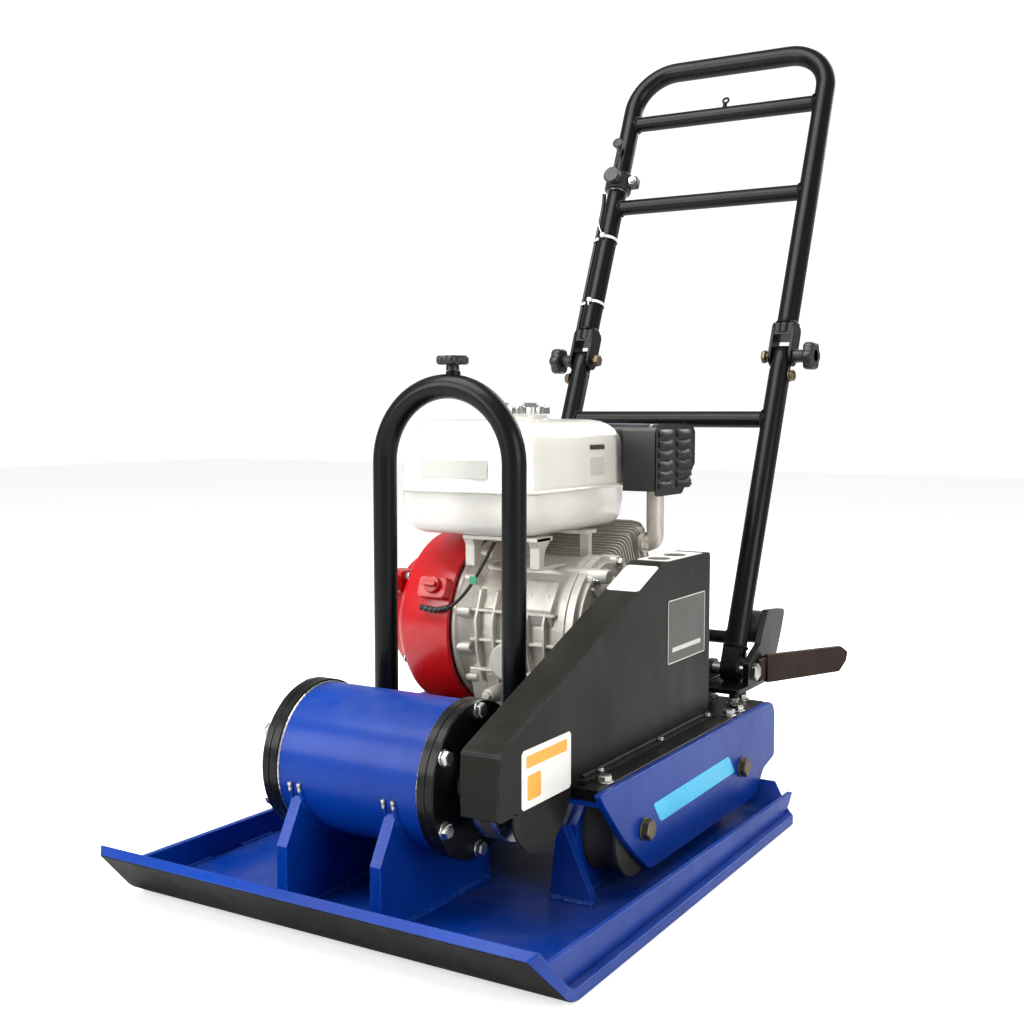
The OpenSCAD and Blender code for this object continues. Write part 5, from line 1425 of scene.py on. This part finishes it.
def muffler():
    lo, hi = Vector(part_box("muffler_guard")[0]), Vector(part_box("muffler_guard")[1])
    step_x, step_y = 0.052, 0.258
    t = 0.002

    def outline(y0, d=0.0):
        return [(y0 + d, lo.z + d), (y0 + d, hi.z - 0.006 - d), (y0 + 0.008 + d, hi.z - d),
                (hi.y - 0.008 - d, hi.z - 0.002 - d), (hi.y - d, hi.z - 0.010 - d),
                (hi.y - d, lo.z + 0.036 + d * 0.4), (hi.y - 0.040 - d * 0.4, lo.z + d)]

    bm = bmesh.new()
    # shroud skin: bands round both widths, then its inner and outer walls
    for x0, x1, y0 in ((lo.x, step_x, step_y), (step_x, hi.x - LOUVRE, lo.y)):
        skin = filleted(outline(y0), 0.006, 4)
        inner = filleted(outline(y0, t), 0.005, 4)
        rows = [[bm.verts.new((x, p, q)) for p, q in ring] for ring in (skin, inner)
                for x in (x0, x1)]
        count = len(skin)
        for k in range(count):
            j = (k + 1) % count
            under = skin[k][1] < lo.z + 0.012 and skin[j][1] < lo.z + 0.012
            if under:
                continue
            top = skin[k][1] > hi.z - 0.004 and skin[j][1] > hi.z - 0.004
            outer = bm.faces.new((rows[0][k], rows[0][j], rows[1][j], rows[1][k]))
            # top faces take the lighter copy of the black, a painted sheen
            outer.material_index = 1 if top else 0
            bm.faces.new((rows[2][k], rows[2][j], rows[3][j], rows[3][k]))
            bm.faces.new((rows[0][k], rows[0][j], rows[2][j], rows[2][k]))
            bm.faces.new((rows[1][k], rows[1][j], rows[3][j], rows[3][k]))
    wall = hi.x - LOUVRE - 0.0002
    prism(bm, filleted(outline(lo.y), 0.006, 4), wall - 0.0014, wall, "x")
    prism(bm, filleted(outline(step_y), 0.006, 4), lo.x, lo.x + t, "x")
    # louvres: scoops pressed out of the wall in two columns, open below
    rows_at = [lo.z + 0.009 + k * 0.0122 for k in range(6)]
    for y0 in LOUVRE_Y:
        for z0 in rows_at:
            rings = []
            for u in range(11):
                swell = LOUVRE * sin(pi * (0.04 + 0.92 * u / 10)) ** 0.45
                y = y0 + 0.043 * u / 10
                rings.append([bm.verts.new((wall + out * swell, y, z0 + up)) for out, up in
                              ((-0.10, 0.0096), (0.30, 0.0076), (0.72, 0.0046), (0.98, 0.0014),
                               (0.94, 0.0002), (-0.10, 0.0))])
            bridge(bm, rings)
    piece("muffler_shroud", bm, ["Muffler black", "Muffler top sheen"], "deck", ("muffler_guard",),
          angle=50)
    # dark strips under each scoop: painted shade below the louvres
    bm = bmesh.new()
    for y0 in LOUVRE_Y:
        for z0 in rows_at:
            block(bm, (wall - 0.0010, y0 + 0.002, z0 - 0.0020), (wall + 0.0004, y0 + 0.041, z0))
    piece("louvre_shade_strips", bm, "Black plastic", "deck")
    bm = bmesh.new()
    # holes punched in the shroud's top, as dark dimples, and its screws
    for i in range(9):
        for j in range(5):
            x = 0.006 + i * 0.0100
            y = 0.272 + j * 0.0095
            if x > 0.094:
                continue
            lathe(bm, [(hi.z - 0.0022, 0), (hi.z - 0.0022, 0.0022), (hi.z - 0.0003, 0.0026),
                       (hi.z - 0.0003, 0)], (x, y), "z", 12)
    piece("shroud_punching", bm, "Black plastic", "deck")
    bm = bmesh.new()
    for spot in ((0.030, 0.280), (0.086, 0.214)):
        bolt(bm, hi.z - 0.0044, 1, spot, "z", 0.006, 0.0020, 0.0048, 0.2)
    piece("shroud_screws", bm, "Zinc plate", "deck", (), 0.0003, 1)
    # inner box seen through the gaps
    d = 0.007
    bm = bmesh.new()
    prism(bm, filleted(outline(step_y, d), 0.010, 4), lo.x + d, step_x + d + 0.001, "x")
    prism(bm, filleted(outline(lo.y, d), 0.010, 4), step_x + d, hi.x - d - 0.002, "x")
    piece("muffler_box", bm, "Muffler black", "deck", ("muffler",), 0.002, 2)
    x, y, z = exhaust_spot()
    bm = bmesh.new()
    route = [(0.0645, y, z), (0.068, y, z), (x - 0.004, y, z + 0.001), (x, y, z + 0.006),
             (x, y, z + 0.020), (x, y, lo.z + 0.0065)]
    sweep(bm, smooth_route(route, 6), 0.0105, 28)
    plate = filleted([(y - 0.017, z - 0.012), (y + 0.017, z - 0.012), (y + 0.017, z + 0.012),
                      (y - 0.017, z + 0.012)], 0.009, 5)
    prism(bm, plate, 0.0642, 0.0680, "x")
    for dy in (-0.012, 0.012):
        bolt(bm, 0.0680, 1, (y + dy, z - 0.004), "x", 0.008, 0.004, 0.0055, 0.4)
    piece("exhaust_pipe", bm, "Hot pipe", "deck", ("exhaust_elbow",), 0.0006, 2)


def exhaust_spot():
    along, up = 0.140, 0.034
    return (0.078, CRANK.y + along * cos(TILT) - up * sin(TILT),
            CRANK.z + along * sin(TILT) + up * cos(TILT))


def rotor():
    dressed("clutch_pulley", "Machined alloy", 0.0006)
    dressed("crankshaft", "Zinc plate", 0.0004)
    dressed("flywheel", "Cast alloy", 0.0010)
    y, z = CRANK.y - 0.062, CRANK.z - 0.062
    bm = bmesh.new()
    x = 0.070
    lathe(bm, [(x + 0.0004, 0), (x + 0.0004, 0.0088), (x + 0.0125, 0.0088), (x + 0.0130, 0.0122),
               (x + 0.0140, 0.0129), (x + 0.0170, 0.0129), (x + 0.0179, 0.0118), (x + 0.0179, 0)],
          (y, z), "x", 40)
    wing = filleted([(y - 0.0098, z - 0.0023), (y + 0.0098, z - 0.0023), (y + 0.0098, z + 0.0023),
                     (y - 0.0098, z + 0.0023)], 0.002, 4)
    prism(bm, wing, x + 0.0170, x + 0.0238, "x")
    piece("filler_plug", bm, "Yellow plastic", "oil_plug", ("oil_plug",), 0.0008)


def engine():
    crankcase()
    crankcase_cover()
    cylinder()
    fan_cover()
    switch()
    tank()
    tank_legs()
    fuel_side()
    muffler()
    rotor()


# ------------------------------------------------------------ handle

HANDLE = {"x": 0.150, "r": 0.014, "lean": radians(23.1), "fold_at": 0.427, "grip": 0.480,
          "bend": 0.062}
LEAN = Vector((0, sin(HANDLE["lean"]), cos(HANDLE["lean"])))
FOOT = Vector((0, 0.317, 0.166))
FOLD = FOOT + LEAN * HANDLE["fold_at"]
UPPER = Matrix.Translation(FOLD) @ Matrix.Rotation(-HANDLE["lean"], 4, "X")
LOWER = Matrix.Translation(FOOT) @ Matrix.Rotation(-HANDLE["lean"], 4, "X")


def moved(bm, matrix):
    bmesh.ops.transform(bm, matrix=matrix, verts=bm.verts)


def saddle(bm, side, z, radius):
    """Weld round a crossbar where it meets a side tube."""
    x = side * (HANDLE["x"] - HANDLE["r"] * 0.86)
    bead(bm, [(x, (radius + 0.0004) * cos(radians(a)), z + (radius + 0.0004) * sin(radians(a)))
              for a in range(0, 361, 9)], 0.0022)


def lower_handle():
    x, r = HANDLE["x"], HANDLE["r"]
    bm = bmesh.new()
    for side in (-1, 1):
        steps = 32

        def ring(z, flat):
            out = []
            for k in range(steps):
                a = 2 * pi * k / steps
                px = r * cos(a)
                py = r * sin(a)
                if flat:
                    px = max(-0.0112, min(0.0112, px))
                out.append(bm.verts.new((side * x + px, py, z)))
            return out

        shape = [(0.018, 0, 0.95), (0.0195, 0, 1.0), (0.200, 0, 1.0),
                 (HANDLE["fold_at"] - 0.022, 0, 1.0), (HANDLE["fold_at"] - 0.0175, 1, 1.0),
                 (HANDLE["fold_at"] + 0.0005, 1, 1.0), (HANDLE["fold_at"] + 0.0100, 1, 0.72),
                 (HANDLE["fold_at"] + 0.0135, 1, 0.30)]
        rings = []
        for z, flat, keep in shape:
            made = ring(z, flat)
            for v in made:
                v.co.y *= keep
            rings.append(made)
        bridge(bm, rings)
        # foot lug with its eye
        lug = ([(-0.0148, 0.024), (-0.0148, 0.0)] +
               [(0.0148 * cos(radians(a)), 0.0148 * sin(radians(a))) for a in range(190, 351, 16)]
               + [(0.0148, 0.0), (0.0148, 0.024), (0.0095, 0.0290), (-0.0095, 0.0290)])
        prism(bm, lug, side * x - 0.0108, side * x + 0.0108, "x")
        collar_weld(bm, side * x, r + 0.0003, 0.0285, 0.0020)
    # crossbars with their welds
    sweep(bm, [(-x, 0, 0.336), (x, 0, 0.336)], 0.011, 28)
    sweep(bm, [(-x, 0, 0.040), (x, 0, 0.040)], 0.008, 24)
    for side in (-1, 1):
        saddle(bm, side, 0.336, 0.0112)
        saddle(bm, side, 0.040, 0.0082)
    moved(bm, LOWER)
    piece("lower_frame", bm, "Tube coating", "lower_handle", ("lower_handle",), 0.0004, 1, 40)


def upper_handle():
    x, r, bend, grip = (HANDLE[k] for k in ("x", "r", "bend", "grip"))
    fork_in, fork_t = r - 0.0025 + 0.0003, 0.004
    bm = bmesh.new()
    route = [Vector((-x, 0, 0.030)), Vector((-x, 0, grip - bend))]
    route += [Vector((-x + bend - bend * cos(radians(a)), 0, grip - bend + bend * sin(radians(a))))
              for a in range(6, 91, 6)]
    route += [Vector((x - bend + bend * sin(radians(a)), 0, grip - bend + bend * cos(radians(a))))
              for a in range(0, 91, 6)]
    route.append(Vector((x, 0, 0.030)))
    sweep(bm, route, r, 32)
    for side in (-1, 1):
        for s in (-1, 1):
            # pressed fork plates that straddle the lower tube
            a = side * x + s * fork_in
            b = a + s * fork_t
            cheek = ([(0.0138 * cos(radians(k)), 0.0138 * sin(radians(k)))
                      for k in range(180, 361, 12)]
                     + [(0.0138, 0.0), (0.0138, 0.040), (0.0100, 0.0455), (-0.0100, 0.0455),
                        (-0.0138, 0.040)])
            prism(bm, cheek, min(a, b), max(a, b), "x")
        block(bm, (side * x - fork_in - 0.001, -0.0125, 0.0265),
              (side * x + fork_in + 0.001, 0.0125, 0.0445))
        collar_weld(bm, side * x, r + 0.0006, 0.0462, 0.0022)
    for z in (0.250, 0.394):
        sweep(bm, [(-x, 0, z), (x, 0, z)], 0.011, 28)
        for side in (-1, 1):
            saddle(bm, side, z, 0.0112)
    # eye bolt on the upper crossbar
    lathe(bm, [(0.400, 0), (0.400, 0.0040), (0.4125, 0.0032), (0.4135, 0.0030), (0.4135, 0)],
          (0, 0), "z", 20)
    ring = [(0.0042 * cos(radians(a)), 0, 0.4180 + 0.0042 * sin(radians(a)))
            for a in range(0, 361, 15)]
    sweep(bm, ring, 0.0017, 10)
    moved(bm, UPPER)
    piece("upper_frame", bm, "Tube coating", "upper_handle", ("upper_handle",), 0.0005, 1, 40)


def handle_feet():
    base_z = 0.145
    bm = bmesh.new()
    for side in (-1, 1):
        def span_x(a, b):
            return (min(side * a, side * b), max(side * a, side * b))

        x0, x1 = span_x(0.118, 0.178)
        prism(bm, filleted([(x0, 0.268), (x1, 0.268), (x1, 0.386), (x0, 0.386)], 0.005, 4),
              base_z, base_z + 0.006, "z")
        inner = filleted([(0.298, base_z + 0.0055), (0.304, 0.176), (0.330, 0.176),
                          (0.346, base_z + 0.0055)], [0.001, 0.010, 0.010, 0.001], 6)
        prism(bm, inner, *span_x(0.118, 0.126), "x")
        outer = filleted([(0.300, base_z + 0.0055), (0.302, 0.178), (0.321, 0.188), (0.340, 0.196),
                          (0.366, 0.236), (0.432, 0.230), (0.414, 0.196),
                          (0.384, base_z + 0.0055)],
                         [0.001, 0.008, 0.010, 0.012, 0.008, 0.008, 0.010, 0.001], 6)
        prism(bm, outer, *span_x(0.170, 0.178), "x")
        for x in (0.128, 0.168):
            for y in (0.278, 0.304):
                lathe(bm, [(0.1312, 0), (0.1312, 0.0058), (base_z, 0.0058), (base_z, 0)],
                      (side * x, y), "z", 20)
        for x in (0.126, 0.170):
            bead(bm, [(side * x, y, base_z + 0.0065) for y in (0.302, 0.378)], 0.0024)
    piece("pivot_feet", bm, "Black enamel", "deck", ("handle_feet",), 0.0010, 2)
    bm = bmesh.new()
    for side in (-1, 1):
        for x in (0.128, 0.168):
            for y in (0.278, 0.304):
                lathe(bm, [(0.1313, 0), (0.1313, 0.0095), (0.1335, 0.0095), (0.1338, 0.0085),
                           (0.1338, 0)], (side * x, y), "z", 24)
                hexagon(bm, 0.1338, 0.0065, 0.013, "z", (side * x, y), x * 31 + y * 17)
    piece("foot_nuts", bm, "Zinc plate", "deck", (), 0.0004, 1)
    bm = bmesh.new()
    for side in (-1, 1):
        a, b = side * 0.134, side * 0.1699
        d = side * 0.0012
        lathe(bm, [(a, 0), (a, 0.0190), (a + d, 0.0205), (a + d * 4, 0.0208), (b - d * 4, 0.0208),
                   (b - d, 0.0205), (b, 0.0190), (b, 0)], (0.375, 0.212), "x", 48)
        for k in range(3):
            m = a + (b - a) * (0.25 + 0.25 * k)
            closed_lathe(bm, [(m - 0.0012, 0.0200), (m - 0.0012, 0.0209), (m + 0.0012, 0.0209),
                              (m + 0.0012, 0.0200), (m - 0.0012, 0.0200)], (0.375, 0.212), "x", 48)
    piece("rest_rollers", bm, "Rubber", "deck", ("handle_stop_rubbers",), 0.0004)
    bm = bmesh.new()
    x = 0.178
    lathe(bm, [(-x - 0.006, 0), (-x - 0.006, 0.0068), (-x - 0.005, 0.0079), (x + 0.005, 0.0079),
               (x + 0.006, 0.0068), (x + 0.006, 0)], (FOOT.y, FOOT.z), "x", 32)
    for side in (-1, 1):
        hexagon(bm, side * (x + 0.0002), side * 0.0068, 0.019, "x", (FOOT.y, FOOT.z), 0.4)
    piece("pivot_bar", bm, "Zinc plate", "deck", ("foot_pivot_rod",), 0.0005, 2)


def fold_joint():
    x, r = HANDLE["x"], HANDLE["r"]
    stop = FOOT + LEAN * (HANDLE["fold_at"] - 0.028)
    bm = bmesh.new()
    for side in (-1, 1):
        lathe(bm, [(side * (x - 0.0218), 0), (side * (x - 0.0218), 0.0048),
                   (side * (x + 0.0325), 0.0048), (side * (x + 0.0330), 0.0042),
                   (side * (x + 0.0330), 0)], (FOLD.y, FOLD.z), "x", 24)
        hexagon(bm, side * (x - 0.0219), -side * 0.0058, 0.016, "x", (FOLD.y, FOLD.z), 0.2)
        bolt(bm, side * (x + r - 0.0004), side, (stop.y, stop.z), "x", 0.013, 0.0060, 0.0085, 0.7)
    piece("fold_bolt_set", bm, "Bronze plate", "lower_handle", ("fold_bolts",), 0.0004, 1)
    start = x + r - 0.0025 + 0.004 + 0.0006
    for side, label in ((1, "right"), (-1, "left")):
        star_knob(f"{label}_clamp_knob", f"fold_knob_{label}", f"fold_knob_{label}", side * start,
                  side, (FOLD.y, FOLD.z), "x", 0.0200, 0.0139, 0.0090, 0.0159)


THROTTLE_S = 0.292


def on_left(bm, s):
    """Moves a bmesh from the frame of a place on the left upper tube."""
    moved(bm, UPPER @ Matrix.Translation((-HANDLE["x"], 0, s)))


def throttle():
    r = HANDLE["r"]
    bm = bmesh.new()
    closed_lathe(bm, [(-0.0130, r + 0.0001), (-0.0130, 0.0190), (-0.0118, 0.0199),
                      (0.0118, 0.0199), (0.0130, 0.0190), (0.0130, r + 0.0001),
                      (-0.0130, r + 0.0001)], (0, 0), "z", 40)
    lathe(bm, [(-0.0145, 0), (-0.0145, 0.0118), (-0.0230, 0.0118), (-0.0239, 0.0108),
               (-0.0239, 0)], (0, 0), "y", 32)
    prism(bm, filleted([(0.0135, -0.008), (0.0318, -0.008), (0.0318, 0.008), (0.0135, 0.008)],
                       0.003, 4), -0.0058, 0.0058, "y")
    on_left(bm, THROTTLE_S)
    piece("throttle_band", bm, "Black plastic", "upper_handle", ("throttle_clamp",), 0.0006)
    bm = bmesh.new()
    # bright clamp screw and band beside the tube
    bolt(bm, -0.0058, -1, (0.0245, 0), "y", 0.009, 0.004, 0.0062, 0.2)
    closed_lathe(bm, [(-0.0160, r + 0.0001), (-0.0160, r + 0.0012), (-0.0138, r + 0.0012),
                      (-0.0138, r + 0.0001), (-0.0160, r + 0.0001)], (0, 0), "z", 32)
    on_left(bm, THROTTLE_S)
    piece("throttle_screw", bm, "Zinc plate", "upper_handle", (), 0.0003, 1)
    bm = bmesh.new()
    # hub and the curved finger lever
    lathe(bm, [(-0.0244, 0), (-0.0244, 0.0126), (-0.0292, 0.0129), (-0.0302, 0.0115),
               (-0.0302, 0)], (0, 0), "y", 32)
    route = smooth_route([(0.001, -0.0270, 0.008), (0.0045, -0.0274, 0.022),
                          (0.0042, -0.0278, 0.036), (0.0005, -0.0278, 0.048),
                          (-0.0005, -0.0278, 0.054)], 6)
    sweep(bm, route, 0.0023, 14)
    lathe(bm, [(-0.0255, 0), (-0.0255, 0.0070), (-0.0262, 0.0078), (-0.0298, 0.0078),
               (-0.0301, 0.0070), (-0.0301, 0)], (-0.0004, 0.0540), "y", 28)
    on_left(bm, THROTTLE_S)
    piece("throttle_thumb_lever", bm, "Black plastic", "throttle_lever", ("throttle_lever",),
          0.0004, 1)


CABLE_R, CABLE_OUT = 0.003, 0.019
TIES = ((0.090, (0.004, -0.020, -0.012)), (0.196, (-0.010, -0.018, 0.020)))


def throttle_cable():
    """One cable in four runs: up the handle, across the fold, along the tube and to the engine."""
    x, r = HANDLE["x"], CABLE_R
    side = Vector((-x - CABLE_OUT, 0, 0))
    top = FOLD + LEAN * (THROTTLE_S - 0.016) + Vector((-x - 0.017, -0.009, 0))
    upper = [FOLD + side + LEAN * along for along in (0.0595, 0.160, 0.250)] + [top]
    bm = bmesh.new()
    sweep(bm, smooth_route(upper, 10), r * 0.98, 16)
    piece("cable_run_upper", bm, "Black plastic", "upper_handle", ("cable_on_handle",))
    bm = bmesh.new()
    engine = [(-0.128, 0.420, 0.402), (-0.126, 0.398, 0.366), (-0.122, 0.366, 0.334),
              (-0.118, 0.326, 0.306), (-0.116, 0.290, 0.290), (-0.1125, 0.266, 0.284)]
    engine.reverse()
    sweep(bm, smooth_route(engine, 8), r * 0.98, 16)
    down = piece("cable_run_engine", bm, "Black plastic", "deck", ("cable_at_engine",))
    # the runs from the engine run's end to the tied run's start, left with no body
    joined = smooth_route([engine[-2], engine[-1],
                           FOLD - LEAN * 0.110 + Vector((-x + 0.006, 0.022, 0)),
                           FOLD + side - LEAN * 0.050 + Vector((0.006, 0.024, 0)),
                           FOLD + side + Vector((-0.004, 0.022, -0.004)),
                           FOLD + side + LEAN * 0.030 + Vector((-0.002, 0.006, 0)),
                           FOLD + side + LEAN * 0.0600, FOLD + side + LEAN * 0.080], 10)[10:-10]
    split = 14
    for name, run, a, b in (("cable_run_low", joined[:split + 1], "deck", "lower_handle"),
                            ("cable_run_fold", joined[split:], "lower_handle", "upper_handle")):
        bm = bmesh.new()
        sweep(bm, run, r * 0.97, 16)
        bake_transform(piece(name, bm, "Black plastic", ""))


def cable_ties():
    r = HANDLE["r"]
    bm = bmesh.new()
    for s, _ in TIES:
        part = bmesh.new()
        # band round tube and cable, its head and its loose tail
        loop = []
        for a in range(-75, 76, 10):
            loop.append(((r + 0.0012) * cos(radians(a)), (r + 0.0012) * sin(radians(a))))
        for a in range(105, 256, 15):
            loop.append((-CABLE_OUT + 0.0042 * cos(radians(a)), 0.0042 * sin(radians(a))))
        wide = 0.0019
        for k in range(len(loop)):
            p, q = loop[k - 1], loop[k]
            m = Vector((p[0] - q[0], p[1] - q[1]))
            if m.length < 1e-6:
                continue
            n = Vector((-m.y, m.x)).normalized() * 0.0005
            prism(part, [(p[0] - n.x, p[1] - n.y), (q[0] - n.x, q[1] - n.y),
                         (q[0] + n.x, q[1] + n.y), (p[0] + n.x, p[1] + n.y)], -wide, wide, "z")
        on_left(part, s)
        absorb(bm, part)
    piece("tie_bands", bm, "White nylon", "upper_handle", ("cable_ties",), 0.0)
    bm = bmesh.new()
    for s, tail in TIES:
        part = bmesh.new()
        block(part, (-0.0030, -0.0200, -0.0027), (0.0030, -0.0150, 0.0027))
        route = smooth_route([(0, -0.0190, 0), (tail[0] * 0.4, -0.0225, tail[2] * 0.4),
                              (tail[0], tail[1] - 0.004, tail[2])], 6)
        sweep(part, route, 0.0009, 8)
        on_left(part, s)
        absorb(bm, part)
    piece("tie_heads", bm, "White nylon", "upper_handle", (), 0.0004)


def rear_bar():
    z = DECK_Z
    bm = bmesh.new()
    block(bm, (0.1783, 0.3295, z + 0.0205), (0.1828, 0.3615, z + 0.0475))
    outline = filleted([(0.0003, z + 0.0163), (0.0003, z + 0.0517), (0.129, z + 0.050),
                        (0.141, z + 0.042), (0.138, z + 0.030), (0.126, z + 0.0172)],
                       [0.002, 0.002, 0.004, 0.004, 0.005, 0.005], 5)
    bar = bmesh.new()
    prism(bar, outline, 0.0003, 0.0078, "x")
    moved(bar, Matrix.Translation((0.179, 0.350, 0)) @ Matrix.Rotation(radians(-27), 4, "Z"))
    absorb(bm, bar)
    piece("carry_bar", bm, "Brown steel", "deck", ("rear_carry_bar",), 0.0012, 2)


def handle():
    lower_handle()
    upper_handle()
    handle_feet()
    fold_joint()
    throttle()
    throttle_cable()
    cable_ties()
    rear_bar()
    star_knob("hoop_star_knob", "hoop_knob", "hoop_knob", HOOP["top"] + 0.0163, 1,
              (0, HOOP["y"] + 0.010), "z", 0.0180, 0.0089, 0.0070, 0.0059)


make_finishes()
studio()
base()
deck()
engine()
handle()
